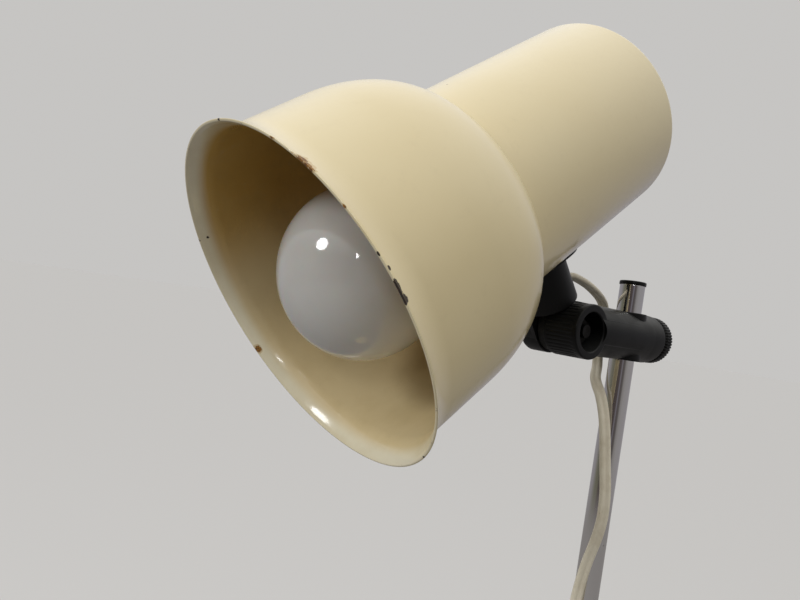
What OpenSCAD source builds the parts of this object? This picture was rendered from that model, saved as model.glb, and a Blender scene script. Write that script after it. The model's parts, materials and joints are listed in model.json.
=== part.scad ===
// Floor lamp with a bell-shaped enamelled spot on a slim chrome stem.
// A black cross clamp slides and turns on the stem, and the spot tilts on the clamp's barrel.
// Frame: +Z up, origin under the middle of the base, stem on the Z axis, spot pointing to -Y.
// All sizes are in millimetres.

/* [Stand] */
// Diameter of the base cover
base_d = 230; // [200:1:280]
// Height of the top of the base above the floor
base_h = 20; // [16:0.5:30]
// Sheet thickness of the base cover
base_wall = 1.2; // [0.8:0.1:2]
// Rounding between the cover's top and its skirt
base_edge_r = 8; // [4:0.5:10]
// Height of the skirt's hem above the floor
hem_h = 1.5; // [1:0.1:3]
// Thickness of the felt disc under the weight
pad_t = 2; // [1.8:0.1:4]
// Outer diameter of the stem tube
stem_d = 12; // [10:0.5:14]
// Wall of the stem tube
stem_wall = 1.2; // [0.8:0.1:1.6]
// Height of the stem's upper end above the floor
stem_top = 1151; // [900:1:1400]
// Height of the collar on the base
collar_h = 14; // [8:1:25]
// Diameter of the collar's foot
collar_d = 26; // [20:1:40]
// Thickness of the cap's rim on top of the stem
cap_t = 1.9; // [1:0.1:4]
// How far the cap's rim stands out past the tube
cap_lip = 0.4; // [0.2:0.1:1]

/* [Clamp] */
// Distance from the stem's top down to the axis of the clamp arm
arm_drop = 25.7; // [22:0.1:60]
// Diameter of the clamp arm
arm_d = 24; // [22:0.5:24]
// Distance from the stem to the tilt axis
arm_reach = 45; // [43:0.5:60]
// Distance from the stem to the arm's end
arm_tail = 17.5; // [16:0.5:30]
// Distance from the arm's axis to the middle plane of the spot
arm_side = 8.5; // [8:0.5:12]
// Diameter of the tilt barrel
barrel_d = 24.8; // [24.6:0.1:26]
// How far the tilt axis lies below the arm's axis
barrel_drop = 1; // [0:0.1:2]
// How far the barrel's open end is set back from the arm's side
barrel_back = 1.3; // [0.5:0.1:3]
// Thickness of the friction disc between the barrel's halves
disc_t = 4; // [2:0.5:5]
// Diameter of the recess in the barrel's open end
recess_d = 17.8; // [15:0.1:18.5]
// Depth of that recess
recess_h = 12; // [10:0.5:13]
// Wall of the nylon bush on the stem
bush_wall = 1; // [0.8:0.1:1.5]
// Length of the nylon bush
bush_h = 22; // [12:1:22]
// Diameter of the clamp screw
screw_d = 8; // [6:0.5:9]
// Width of the groove between the arm and its knob
knob_gap = 2.1; // [1:0.1:3]
// Length of the knurled knob
knob_h = 7.4; // [5:0.1:15]
// Number of grooves around the knob
knob_grooves = 48; // [24:2:56]
// Number of grooves around the barrel
barrel_grooves = 40; // [20:2:48]
// Diameter of the pivot bolt
bolt_d = 6; // [5:0.5:7]
// Width across flats of the pivot bolt's head and nut
hex_af = 10; // [9:0.5:11]

/* [Spot] */
// Angle of the spot below the horizontal
tilt = 38; // [30:1:45]
// Outer diameter at the lip
mouth_d = 124; // [122:1:140]
// Outer diameter of the bell's straight wall
bell_d = 116.8; // [108:0.2:120]
// Length of the flared lip
lip_h = 10; // [6:1:20]
// Distance from the mouth to the start of the shoulder
bell_h = 35.6; // [28:0.1:45]
// Length of the shoulder along the axis
shoulder_h = 32.1; // [20:0.1:35]
// Outer diameter of the rear cylinder
rear_d = 86.6; // [80:0.2:95]
// Length of the whole shade
shade_h = 168.5; // [160:0.5:200]
// Sheet thickness of the shade
shade_wall = 0.9; // [0.6:0.1:1.5]
// Rounding of the rear edge
rear_edge_r = 3; // [2:0.5:10]
// Distance from the tilt axis to the lampholder's bracket, along the shade
tab_back = 12.5; // [12:0.5:15]
// Distance from the shade's axis to the tilt axis
neck_out = 78.3; // [77:0.1:90]
// Diameter of the neck at the shade
neck_top_d = 23; // [20:0.5:24]
// Diameter of the neck at the barrel
neck_d = 25.6; // [22:0.1:26]
// Diameter of the neck's foot on the shade
foot_d = 36; // [32:1:46]
// Thickness of the neck's foot
foot_t = 1; // [0.8:0.1:3]
// Diameter of the cord channel in the neck
channel_d = 10; // [8:0.5:11]
// Diameter of the neck screws
tap_d = 3; // [2.5:0.1:3.2]
// Distance between the two neck screws
tap_pitch = 17; // [16:0.5:18]

/* [Bulb and holder] */
// Diameter of the bulb's globe
bulb_d = 61; // [55:1:66]
// How far the globe's crown stands out of the mouth
bulb_out = 1.5; // [-10:0.5:4]
// Overall length of the bulb
bulb_h = 105; // [100:1:112]
// Diameter of the bulb's screw cap
cap_d = 26.4; // [26:0.1:27]
// Length of the bulb's screw cap
cap_h = 25; // [22:0.5:27]
// Thickness of the glass
glass_t = 0.8; // [0.6:0.1:1.2]
// Outer diameter of the lampholder
holder_d = 39; // [37:0.5:44]
// Outer diameter of the hollow threaded nipple
nipple_d = 10; // [9:0.5:12]
// Width of the bracket that carries the lampholder
bracket_w = 22; // [18:1:28]
// Thickness of the bracket
bracket_t = 1.5; // [1:0.1:2]

/* [Cord] */
// Width of the flat flex
cord_w = 5.4; // [4.5:0.1:6]
// Thickness of the flat flex
cord_t = 2.8; // [2.2:0.1:3]
// Number of turns in the coil, with three quarters left over for the way out
coil_turns = 5.75; // [3.75:1:7.75]
// Radius of the coil's outer turn
coil_r = 36; // [34:0.5:38]
// Distance from one turn to the next
coil_pitch = 4.8; // [4.7:0.1:5.2]
// Room between the coil's two layers
layer_gap = 1; // [0.9:0.1:1.4]
// Width of the coil's tie
tie_w = 8; // [5:1:12]
// Thickness of the coil's tie
tie_t = 0.8; // [0.5:0.1:0.9]

/* [Switch and plug] */
// Length of the cord switch
switch_l = 60; // [54:1:70]
// Width of the cord switch
switch_w = 24; // [22:1:28]
// Height of the lower half of the switch
switch_base_h = 7; // [6:0.5:9]
// Height of the upper half of the switch
switch_top_h = 7.5; // [6.5:0.5:9]
// Length of the rocker
rocker_l = 20; // [16:0.5:24]
// Width of the rocker
rocker_w = 10.6; // [9:0.2:13]
// Half of the rocker's swing
rocker_tip = 8; // [5:0.5:10]
// Length of the plug's body
plug_l = 36; // [30:1:42]
// Width of the plug's body
plug_w = 26; // [25:0.5:28]
// Thickness of the plug's body
plug_t = 13.6; // [12:0.2:16]
// Diameter of the plug's pins
pin_d = 4; // [3.8:0.1:4.8]
// Length of the plug's pins
pin_l = 19; // [15:0.5:20]
// Distance between the plug's pins
pin_pitch = 18.6; // [17.5:0.1:19]

/* [Hidden] */
$fn = 96;

// Running clearance of a shaft in its bore, on the radius
fit = 0.05;
// Room between pieces that must not touch
room = 0.4;
// Overlap that lets a cut pass through a face
eps = 1;

CREAM = "#e2d3a6";
BLACK = "#1d1d1f";
CHROME = "#c9ccd0";
STEEL = "#8e9094";
IRON = "#4a4a4c";
BRASS = "#b8954a";
OPAL = "#f1f0ec";
FLEX = "#a9a38d";
IVORY = "#e7e3d6";

// Stand
base_r = base_d / 2;
weight_r = base_r - base_wall - 2;
weight_top = base_h - base_wall;
stem_r = stem_d / 2;
stem_bore_r = stem_r - stem_wall;
stud_r = stem_bore_r - fit;
stud_low = pad_t + 1;
stud_grip = 40;
stand_nut_af = 16;
stand_nut_h = 6;
stand_washer_r = 12;
stand_washer_t = 1.6;
well_r = 14;
well_top = stud_low + 1.4 + stand_nut_h + stand_washer_t;
collar_neck_r = stem_r + 1.6;
plug_depth = 10;

// Clamp
arm_z = stem_top - arm_drop;
hinge_z = arm_z - barrel_drop;
arm_r = arm_d / 2;
barrel_r = barrel_d / 2;
barrel_front = arm_r - barrel_back;
disc_left = -arm_side - disc_t / 2;
disc_right = -arm_side + disc_t / 2;
ear_t = 10;
ear_left = disc_left - ear_t;
disc_r = barrel_r - 1.2;
swing_r = max(barrel_r, neck_d / 2) + 2.4;
bush_r = stem_r + fit + bush_wall;
bore_r = bush_r + fit;
screw_r = screw_d / 2;
pad_len = 3.4;
boss_r = bore_r + 1.6;
boss_h = arm_r - 0.2;
knob_start = arm_tail + knob_gap;
groove_r = 0.6;
bolt_r = bolt_d / 2;
head_h = 4;
nut_h = 5;
spring_t = 1.6;
recess_floor = barrel_front - recess_h;
bolt_end = recess_floor + spring_t + nut_h + 2.4;

// Spot, in its own frame: z from the mouth to the rear, y towards the tilt axis
mouth_r = mouth_d / 2;
bell_r = bell_d / 2;
rear_r = rear_d / 2;
neck_r = neck_d / 2;
neck_floor = neck_out - max(barrel_r, arm_r + barrel_drop) - 0.6;
channel_r = channel_d / 2;
channel_floor = neck_floor - 2.5;
exit_y = neck_floor - 5.2;
exit_r = 3.6;
grommet_out = 1.2;
shade_in = rear_r - shade_wall;
foot_y = sqrt(shade_in * shade_in - bracket_w * bracket_w / 16) - fit;
foot_w = bracket_w / 2;
holder_back = 22;
tab_z = bulb_h - bulb_out + holder_back;
neck_at = tab_z - tab_back;
tap_len = 12;
tap_head_h = 2.2;

// Bulb and holder, along the shade's axis
globe_r = bulb_d / 2;
globe_z = globe_r - bulb_out;
bulb_end = bulb_h - bulb_out;
contact_h = 4;
shell_end = bulb_end - contact_h;
shell_start = shell_end - cap_h;
cap_r = cap_d / 2;
holder_r = holder_d / 2;
holder_wall = 2;
insulator_z = bulb_end + 1.2;
insulator_t = 6;
dome_start = insulator_z + insulator_t + fit;
nipple_r = nipple_d / 2;
nipple_bore_r = nipple_r - 1.6;
nipple_low = tab_z - 5;
nipple_high = tab_z + bracket_t + 7;
ring_nut_h = 3.5;

// Cord route, points chosen by hand
cord_sides = 8;
coil_sides = 6;
loop_route = [[-8.5, -51.1, 1143.4], [-8.5, -46.4, 1147.1], [-8.5, -42.7, 1148.8], [-8.7, -38.6, 1149.2],
    [-9.4, -31.6, 1148.5], [-10.8, -22.4, 1147.2], [-12.6, -12.5, 1145], [-14.6, -3.4, 1142.2],
    [-15.8, 2, 1138.8], [-16, 4.2, 1132], [-16, 4.5, 1124.5]];
drop_route = [[-16, 4.5, 1124], [-15.8, 3.3, 1116], [-13, 0, 1108], [-9, -6, 1101.5], [-1.8, -10.6, 1094],
    [2.2, -12.2, 1086], [4.6, -12.6, 1077], [7, -12.5, 1063], [9.2, -12.5, 1050], [9.7, -12.5, 1038],
    [8.2, -12.6, 1027], [5, -12.7, 1013], [2.5, -12.6, 995], [1, -13, 960], [1, -13, 900], [1.5, -13.5, 800],
    [2, -14, 650], [2.5, -14.5, 500], [3, -15, 350], [3.5, -15.5, 220], [5, -17.5, 140], [7.5, -22, 90],
    [12, -30, 56], [18.5, -41, 33], [26, -54, 23]];
floor_route = [[26, -54, 23], [34, -67.5, 22], [41.5, -80, 22], [48, -91, 22.2], [53.5, -100.5, 21.4],
    [58, -108, 17.6], [62, -115, 12.2], [66, -122, 6.8], [70, -129, 3.2], [74, -136, 1.9],
    [79, -146, 1.6], [82, -156, 1.6], [80.5, -166.5, 1.6], [75, -175.5, 1.9], [66, -181, 3.2],
    [56, -183, 5.4], [47, -183, 7.1], [42, -183, 7.1]];
coil_x = -70;
coil_y = -147;
coil_low = 1;
layer_1 = coil_low + cord_w / 2;
layer_2 = layer_1 + cord_w + layer_gap;
coil_in = [coil_x + cord_w, coil_y - coil_r, layer_1];
lead_route = [[-12, -183, 7.1], [-17, -183, 7.1], [-24, -183, 5.2], [-32, -183, 2.9], [-42, -183, 2.3],
    [-54, -183, 3.1], coil_in];
lead_wides = [[0, 1, 0], [0, 1, 0], [0, 1, 0], [0, 1, 0], [0, 1, 0], [0, 0.7, 0.7], [0, 0, 1]];
tail_start = [coil_x + coil_r, coil_y - cord_w, layer_2];
tail_route = [tail_start, [-34, -162, 10], [-33.6, -171, 9.6], [-32, -181, 8.8], [-27.5, -191, 7.9],
    [-20, -200.5, 7.2], [-10, -207.5, 6.9], [0, -211, 6.9], [8, -212, 6.9], [14, -212, 6.9]];

// Switch and plug
switch_x = 15;
switch_y = -183;
floor_gap = 0.1;
switch_split = floor_gap + switch_base_h;
switch_high = switch_split + switch_top_h;
switch_wall = 2;
entry_r = 3.2;
corner_r = 5;
rocker_z = switch_high - 3.2;
rocker_pin_r = 1.5;
rocker_pin_l = 1.6;
window_room = 0.4;
case_screw_r = 1.5;
case_screw_x = switch_l / 2 - 9;
relief_l = 20;
plug_x = 14 + relief_l;
plug_y = -212;
plug_z = floor_gap + plug_t / 2;
pin_root = 8;

// Tools for the shapes

function unit(v) = v / norm(v);

// Direction of travel at one point of a route
function heading(p, i) = unit(p[min(i + 1, len(p) - 1)] - p[max(i - 1, 0)]);

// Smooth curve through the points of a route
function curve_point(a, b, c, d, t) =
    0.5 * (2 * b + (c - a) * t + (2 * a - 5 * b + 4 * c - d) * t * t + (3 * b - a - 3 * c + d) * t * t * t);
function smooth(p, steps) = let (n = len(p)) [
    for (i = [0 : n - 2], s = [0 : steps - 1])
        curve_point(p[max(i - 1, 0)], p[i], p[i + 1], p[min(i + 2, n - 1)], s / steps),
    p[n - 1]];

// Oval section of the flex, its wide side along the given direction
function oval(p, along, wide, sides) =
    let (w = unit(wide - (wide * along) * along), s = cross(along, w))
    [for (k = [0 : sides - 1]) let (q = 360 * (k + 0.5) / sides)
        p + cord_w / 2 * cos(q) * w + cord_t / 2 * sin(q) * s];

// Flex swept along a route as one closed skin
module flex(route, wides, sides) {
    n = len(route);
    skin = [for (i = [0 : n - 1]) each oval(route[i], heading(route, i), wides[i], sides)];
    start = [for (k = [1 : sides - 2]) [0, k + 1, k]];
    last = (n - 1) * sides;
    end = [for (k = [1 : sides - 2]) [last, last + k, last + k + 1]];
    walls = [for (i = [0 : n - 2], k = [0 : sides - 1])
        let (a = i * sides + k, b = i * sides + (k + 1) % sides)
        each [[a, b, b + sides], [a, b + sides, a + sides]]];
    color(FLEX) polyhedron(points = skin, faces = concat(start, walls, end), convexity = 6);
}

// Wide sides that lie flat on the floor under a route
function lying(p) = [for (i = [0 : len(p) - 1]) cross([0, 0, 1], heading(p, i))];

// The same wide side all along a route
function facing(p, wide) = [for (i = [0 : len(p) - 1]) wide];

// Places a piece of the spot: z from the mouth along the shade's axis, y towards the tilt axis
module at_spot() {
    translate([-arm_side, -arm_reach, hinge_z])
        rotate([tilt - 90, 0, 0])
            translate([0, -neck_out, -neck_at])
                children();
}

// Cylinder along X from one place to another
module bar_x(r, x0, x1, sides = 96) {
    translate([x0, 0, 0]) rotate([0, 90, 0]) cylinder(r = r, h = x1 - x0, $fn = sides);
}

// Cylinder along Y from one place to another, with a second radius for a taper
module bar_y(r, y0, y1, r_end = -1) {
    translate([0, y0, 0]) rotate([-90, 0, 0])
        cylinder(r1 = r, r2 = r_end < 0 ? r : r_end, h = y1 - y0);
}

// Ring between two radii, standing on z0
module ring_z(r_out, r_in, z0, z1) {
    translate([0, 0, z0]) difference() {
        cylinder(r = r_out, h = z1 - z0);
        translate([0, 0, -eps]) cylinder(r = r_in, h = z1 - z0 + 2 * eps);
    }
}

// Six-sided prism with the given width across flats
module hexagon(af, h) { cylinder(d = af / cos(30), h = h, $fn = 6); }

// Rectangle with round corners, made of plain pieces
module round_rect(l, w, r) {
    square([l - 2 * r, w], center = true);
    square([l, w - 2 * r], center = true);
    for (x = [-1, 1], y = [-1, 1]) translate([x * (l / 2 - r), y * (w / 2 - r)]) circle(r = r, $fn = 48);
}

// Stand

module base_pad() {
    color("#2b2b2b") cylinder(r = weight_r - 4, h = pad_t);
}

module base_weight() {
    color(IRON) difference() {
        translate([0, 0, pad_t]) cylinder(r = weight_r, h = weight_top - pad_t - base_edge_r);
        stand_bores();
    }
    color(IRON) difference() {
        translate([0, 0, weight_top - base_edge_r]) cylinder(r = weight_r - base_edge_r, h = base_edge_r);
        stand_bores();
    }
}

// Hole for the stud, and the well for its nut
module stand_bores() {
    cylinder(r = stud_r + room, h = base_h + eps);
    cylinder(r = well_r, h = well_top);
}

// Outline of the base cover's upper side for a given inset
function cover_arc(inset) = [for (q = [0 : 10 : 90])
    [base_r - base_edge_r + (base_edge_r - inset) * cos(q), base_h - base_edge_r + (base_edge_r - inset) * sin(q)]];

module base_cover() {
    outer = cover_arc(0);
    inner = cover_arc(base_wall);
    hole = stud_r + room;
    color(CREAM) rotate_extrude($fn = 160) polygon(concat(
        [[base_r, hem_h]], outer, [[hole, base_h], [hole, base_h - base_wall]],
        [for (i = [len(inner) - 1 : -1 : 0]) inner[i]], [[base_r - base_wall, hem_h]]));
}

module stem_stud() {
    color(STEEL) translate([0, 0, stud_low]) cylinder(r = stud_r, h = base_h + stud_grip - stud_low);
}

module stem_washer() {
    color(STEEL) ring_z(stand_washer_r, stud_r + fit, well_top - stand_washer_t, well_top);
}

module stem_nut() {
    color(STEEL) translate([0, 0, well_top - stand_washer_t - stand_nut_h]) difference() {
        hexagon(stand_nut_af, stand_nut_h);
        translate([0, 0, -eps]) cylinder(r = stud_r + fit, h = stand_nut_h + 2 * eps);
    }
}

module stem() {
    color(CHROME) ring_z(stem_r, stem_bore_r, base_h, stem_top);
}

module stem_collar() {
    color(BLACK) rotate_extrude() polygon([[stem_r + fit, base_h], [collar_d / 2, base_h],
        [collar_d / 2, base_h + 2.5], [collar_d / 2 - 1, base_h + 4], [collar_neck_r + 1, base_h + collar_h - 1],
        [collar_neck_r, base_h + collar_h], [stem_r + fit, base_h + collar_h]]);
}

module stem_cap() {
    color(BLACK) {
        translate([0, 0, stem_top]) cylinder(r = stem_r + cap_lip, h = cap_t);
        translate([0, 0, stem_top - plug_depth]) cylinder(r = stem_bore_r - fit, h = plug_depth + cap_t / 2);
    }
}

// Clamp

module clamp_bush() {
    color("#33343a") ring_z(bush_r, stem_r + fit, arm_z - bush_h / 2, arm_z + bush_h / 2);
}

// The cross piece: arm along Y with a boss round the stem, barrel along X on the tilt axis
module clamp_body() {
    color(BLACK) translate([0, 0, arm_z]) difference() {
        union() {
            bar_y(arm_r, -arm_reach, arm_tail);
            translate([0, -arm_reach, -barrel_drop]) bar_x(barrel_r, disc_right, barrel_front);
            translate([0, 0, -boss_h]) cylinder(r = boss_r, h = 2 * boss_h);
        }
        translate([0, 0, -arm_d]) cylinder(r = bore_r, h = 2 * arm_d);
        bar_y(screw_r + fit, 0, arm_tail + eps);
        translate([0, -arm_reach, -barrel_drop]) {
            bar_x(swing_r, -arm_d, disc_right);
            bar_x(bolt_r + fit, disc_right - eps, barrel_front);
            bar_x(recess_d / 2, recess_floor, arm_r + eps);
            barrel_flutes();
        }
    }
}

// Grip grooves along the barrel, left out where the arm joins it
module barrel_flutes() {
    step = 360 / barrel_grooves;
    for (q = [90 + step : step : 270 - step])
        translate([0, (barrel_r + groove_r / 2) * cos(q), (barrel_r + groove_r / 2) * sin(q)])
            bar_x(groove_r, disc_right + 1.5, barrel_front - 3, 16);
}

module pressure_pad() {
    color("#7d7f83") translate([0, 0, arm_z]) difference() {
        bar_y(screw_r, 0, bore_r + pad_len);
        translate([0, 0, -arm_d]) cylinder(r = bore_r, h = 2 * arm_d);
    }
}

module friction_disc() {
    color("#0f0f10") translate([0, -arm_reach, hinge_z]) difference() {
        bar_x(disc_r, disc_left, disc_right);
        bar_x(bolt_r + fit, disc_left - eps, disc_right + eps);
    }
}

module clamp_screw() {
    color(STEEL) translate([0, 0, arm_z]) bar_y(screw_r, bore_r + pad_len, knob_start + knob_h / 2);
}

module clamp_knob() {
    knob_r = arm_r;
    color(BLACK) translate([0, 0, arm_z]) difference() {
        union() {
            bar_y(knob_r - 1, knob_start, knob_start + 1, knob_r);
            bar_y(knob_r, knob_start + 1, knob_start + knob_h - 2);
            bar_y(knob_r, knob_start + knob_h - 2, knob_start + knob_h, knob_r - 2);
        }
        bar_y(screw_r, knob_start - eps, knob_start + knob_h / 2);
        for (i = [0 : knob_grooves - 1])
            rotate([0, i * 360 / knob_grooves, 0]) translate([knob_r + groove_r / 3, 0, 0])
                translate([0, knob_start - eps, 0]) rotate([-90, 0, 0])
                    cylinder(r = groove_r, h = knob_h + 2 * eps, $fn = 16);
    }
}

// Spot: neck and pivot

// Pieces on the tilt axis, in the spot's frame with x from the spot's middle plane
module at_pivot() { at_spot() translate([arm_side, neck_out, neck_at]) children(); }

module neck() {
    color(BLACK) difference() {
        union() {
            at_spot() {
                intersection() {
                    translate([0, 0, neck_at]) bar_y(foot_d / 2, 0, rear_r + foot_t + eps);
                    cylinder(r = rear_r + foot_t, h = shade_h);
                }
                translate([0, 0, neck_at]) bar_y(neck_top_d / 2, 0, neck_floor, neck_r);
                intersection() {
                    translate([0, 0, neck_at]) bar_y(neck_r, neck_floor - eps, neck_out);
                    translate([ear_left + arm_side, 0, 0]) cube([ear_t, neck_out, shade_h]);
                }
            }
            at_pivot() bar_x(barrel_r, ear_left, disc_left);
        }
        at_spot() {
            translate([0, 0, -eps]) cylinder(r = rear_r + fit, h = shade_h + 2 * eps);
            translate([0, 0, neck_at]) bar_y(channel_r, 0, channel_floor);
            translate([0, exit_y, neck_at]) cylinder(r = exit_r, h = neck_d);
            for (s = [-1, 1]) translate([0, 0, neck_at + s * tap_pitch / 2])
                bar_y(tap_d / 2 + fit, 0, foot_y - bracket_t + tap_len + eps);
        }
        at_pivot() {
            bar_x(bolt_r + fit, ear_left - eps, disc_left + eps);
            bar_x(hex_af / 2 / cos(30) + room, ear_left - eps, ear_left + head_h + room);
        }
    }
}

module pivot_bolt() {
    color(STEEL) at_pivot() {
        translate([ear_left + room, 0, 0]) rotate([0, 90, 0]) hexagon(hex_af, head_h);
        bar_x(bolt_r, ear_left + head_h, bolt_end);
    }
}

module pivot_washer() {
    color(STEEL) at_pivot() difference() {
        bar_x(hex_af / 2 + 1.2, recess_floor, recess_floor + spring_t);
        bar_x(bolt_r + fit, recess_floor - eps, recess_floor + spring_t + eps);
    }
}

module pivot_nut() {
    start = recess_floor + spring_t;
    color(STEEL) at_pivot() difference() {
        translate([start, 0, 0]) rotate([0, 90, 0]) hexagon(hex_af, nut_h);
        bar_x(bolt_r + fit, start - eps, start + nut_h + eps);
    }
}

module neck_screws() {
    seat = foot_y - bracket_t;
    color(STEEL) at_spot() for (s = [-1, 1]) translate([0, 0, neck_at + s * tap_pitch / 2]) {
        bar_y(tap_d / 2, seat, seat + tap_len);
        bar_y(tap_d / 2, seat - tap_head_h, seat, tap_d);
    }
}

module cord_grommet() {
    lip_r = exit_r + 1.2;
    start = channel_r + room;
    color(BLACK) at_spot() translate([0, exit_y, neck_at]) difference() {
        union() {
            cylinder(r = exit_r - fit, h = neck_r + eps);
            translate([0, 0, neck_r + fit]) cylinder(r1 = lip_r, r2 = exit_r, h = grommet_out - fit);
        }
        translate([0, 0, -eps]) cylinder(r = cord_w / 2 + 0.25, h = neck_d + 2 * grommet_out);
        rotate([90, 0, 0]) translate([0, 0, -neck_out]) cylinder(r = start, h = 2 * neck_out);
    }
}

// Spot: shade, holder and bulb

// Outline of the shade from the lip to the rear, drawn in by an inset
function lip_line(inset) = [for (i = [0 : 8])
    [bell_r - inset + (mouth_r - bell_r) * pow(1 - i / 8, 2), lip_h * i / 8]];
function shoulder_line(inset) = [for (q = [0 : 6 : 90])
    [rear_r - inset + (bell_r - rear_r) * cos(q), bell_h + (shoulder_h - inset) * sin(q)]];
function rear_line(inset) = [for (q = [0 : 15 : 90])
    [rear_r - rear_edge_r + (rear_edge_r - inset) * cos(q), shade_h - rear_edge_r + (rear_edge_r - inset) * sin(q)]];
function shade_line(inset) = concat(lip_line(inset), shoulder_line(inset), rear_line(inset));

module shade() {
    outer = shade_line(0);
    inner = shade_line(shade_wall);
    color(CREAM) at_spot() difference() {
        rotate_extrude($fn = 160) polygon(concat(outer, [[0, shade_h], [0, shade_h - shade_wall]],
            [for (i = [len(inner) - 1 : -1 : 0]) inner[i]]));
        translate([0, 0, neck_at]) bar_y(channel_r, 0, rear_r + eps);
        for (s = [-1, 1]) translate([0, 0, neck_at + s * tap_pitch / 2])
            bar_y(tap_d / 2 + fit, 0, rear_r + eps);
    }
}

// Angle bracket: a strap on the shade's wall and an upright tab that holds the lampholder
module holder_bracket() {
    strap_start = neck_at - tap_pitch / 2 - 6;
    window_y = (foot_y + holder_r) / 2 + 2;
    color(STEEL) at_spot() difference() {
        union() {
            translate([-foot_w / 2, foot_y - bracket_t, strap_start])
                cube([foot_w, bracket_t, tab_z + bracket_t - strap_start]);
            translate([-foot_w / 2, 0, tab_z]) cube([foot_w, foot_y, bracket_t]);
            translate([0, 0, tab_z]) cylinder(d = bracket_w, h = bracket_t);
        }
        translate([0, 0, neck_at]) bar_y(channel_r - 1, 0, rear_r);
        for (s = [-1, 1]) translate([0, 0, neck_at + s * tap_pitch / 2]) bar_y(tap_d / 2 + fit, 0, rear_r);
        translate([0, 0, tab_z - eps]) cylinder(r = nipple_r + fit, h = bracket_t + 2 * eps);
        translate([0, window_y, tab_z - eps]) cylinder(d = foot_w - 3, h = bracket_t + 2 * eps);
    }
}

module holder_nipple() {
    color(BRASS) at_spot() ring_z(nipple_r, nipple_bore_r, nipple_low, nipple_high);
}

module holder_nut() {
    color(BRASS) at_spot() translate([0, 0, tab_z + bracket_t]) difference() {
        hexagon(2 * nipple_r + 5, ring_nut_h);
        translate([0, 0, -eps]) cylinder(r = nipple_r + fit, h = ring_nut_h + 2 * eps);
    }
}

module holder_dome() {
    wall = holder_wall;
    shoulder = dome_start + (tab_z - dome_start) / 2;
    color(BLACK) at_spot() rotate_extrude() polygon([[holder_r - 1, dome_start], [holder_r - 1, shoulder - 3],
        [holder_r - 4, shoulder], [nipple_r + 3, tab_z], [nipple_r + fit, tab_z], [nipple_r + fit, nipple_low],
        [nipple_r + fit + wall / 2, nipple_low], [holder_r - 4 - wall, shoulder - wall / 2],
        [holder_r - 1 - wall, shoulder - 3 - wall / 2], [holder_r - 1 - wall, dome_start]]);
}

module holder_skirt() {
    color(BLACK) at_spot() rotate_extrude() polygon([[holder_r - holder_wall, shell_start - 1],
        [holder_r - 1, shell_start - 2], [holder_r, shell_start - 1], [holder_r, dome_start - 1.5],
        [holder_r - 1, dome_start - fit], [holder_r - holder_wall, dome_start - fit]]);
}

module holder_insulator() {
    color(IVORY) at_spot() ring_z(holder_r - holder_wall - fit, 2, insulator_z, insulator_z + insulator_t);
}

module holder_shell() {
    shell_r = cap_r + fit;
    color(BRASS) at_spot() {
        ring_z(shell_r + 0.5, shell_r, shell_start + 1, insulator_z);
        ring_z(holder_r - holder_wall - fit, shell_r, shell_start + 1, shell_start + 1.6);
    }
}

module holder_contact() {
    color(BRASS) at_spot() {
        translate([-3.5, -9, insulator_z - 0.6]) cube([7, 9, 0.6]);
        translate([0, 0, bulb_end]) cylinder(r = 3.5, h = insulator_z - bulb_end);
    }
}

// Lead from the neck to the lampholder, round the bracket's tab
module inner_lead() {
    window_y = (foot_y + holder_r) / 2 + 2;
    back = nipple_high + 7;
    route = smooth([[0, exit_y, neck_at + 2], [0, exit_y - 5, neck_at + 0.5], [0, rear_r + 4, neck_at],
        [0, rear_r - 4, neck_at + 0.5], [0, window_y + 4, neck_at + 5], [0, window_y, tab_z - 2],
        [0, window_y, tab_z + bracket_t + 3], [0, window_y - 5, back - 1], [0, window_y - 14, back + 4],
        [0, 8, back + 3], [0, 1.5, back - 2], [0, 0, nipple_high - 1], [0, 0, nipple_low + 2]], 2);
    at_spot() flex(route, facing(route, [1, 0, 0]), cord_sides);
}

// Outline of the bulb's glass for a given inset, from the crown to the neck
crown_turn = 128;
function globe_line(inset) = [for (q = [0 : 8 : crown_turn])
    [(globe_r - inset) * sin(q), globe_z - (globe_r - inset) * cos(q)]];

module bulb_glass() {
    throat_r = cap_r - 0.9;
    throat_z = shell_start + 3;
    outer = globe_line(0);
    inner = globe_line(glass_t);
    color(OPAL) at_spot() rotate_extrude() polygon(concat(outer,
        [[throat_r + 3.2, shell_start - 12], [throat_r + 1.2, shell_start - 5], [throat_r, shell_start - 1],
        [throat_r, throat_z], [throat_r - glass_t, throat_z], [throat_r - glass_t, shell_start - 1],
        [throat_r + 1.2 - glass_t, shell_start - 5], [throat_r + 3.2 - glass_t, shell_start - 12]],
        [for (i = [len(inner) - 1 : -1 : 0]) inner[i]]));
}

module bulb_cap() {
    color(STEEL) at_spot() {
        ring_z(cap_r, cap_r - 0.5, shell_start, shell_end - 2);
        translate([0, 0, shell_end - 2]) difference() {
            cylinder(r1 = cap_r, r2 = cap_r - 4, h = 2);
            translate([0, 0, -eps]) cylinder(r = cap_r - 5, h = 2 + 2 * eps);
        }
    }
}

module bulb_contact() {
    color("#3a3430") at_spot() translate([0, 0, shell_end - 2]) {
        cylinder(r = cap_r - 5, h = 2);
        translate([0, 0, 2]) cylinder(r1 = cap_r - 5, r2 = 5, h = contact_h - 0.8);
        translate([0, 0, contact_h]) cylinder(r = 4.5, h = 2);
    }
}

// Cord

module cord_loop() {
    route = smooth(loop_route, 2);
    flex(route, facing(route, [1, 0.06, 0.14]), cord_sides);
}

// Wide side of the hanging cord: across the clamp at first, then turned to face along the stem
function drop_wide(i) = i < 3 ? [1, 0, 0] :
    i < 6 ? [1 - 0.13 * (i - 2), 0.26 * (i - 2), 0] :
    i < 20 ? [0.62, 0.78, 0] : [0.62 + 0.06 * (i - 20), 0.78 - 0.07 * (i - 20), 0];

module cord_drop() { flex(drop_route, [for (i = [0 : len(drop_route) - 1]) drop_wide(i)], cord_sides); }

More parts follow.
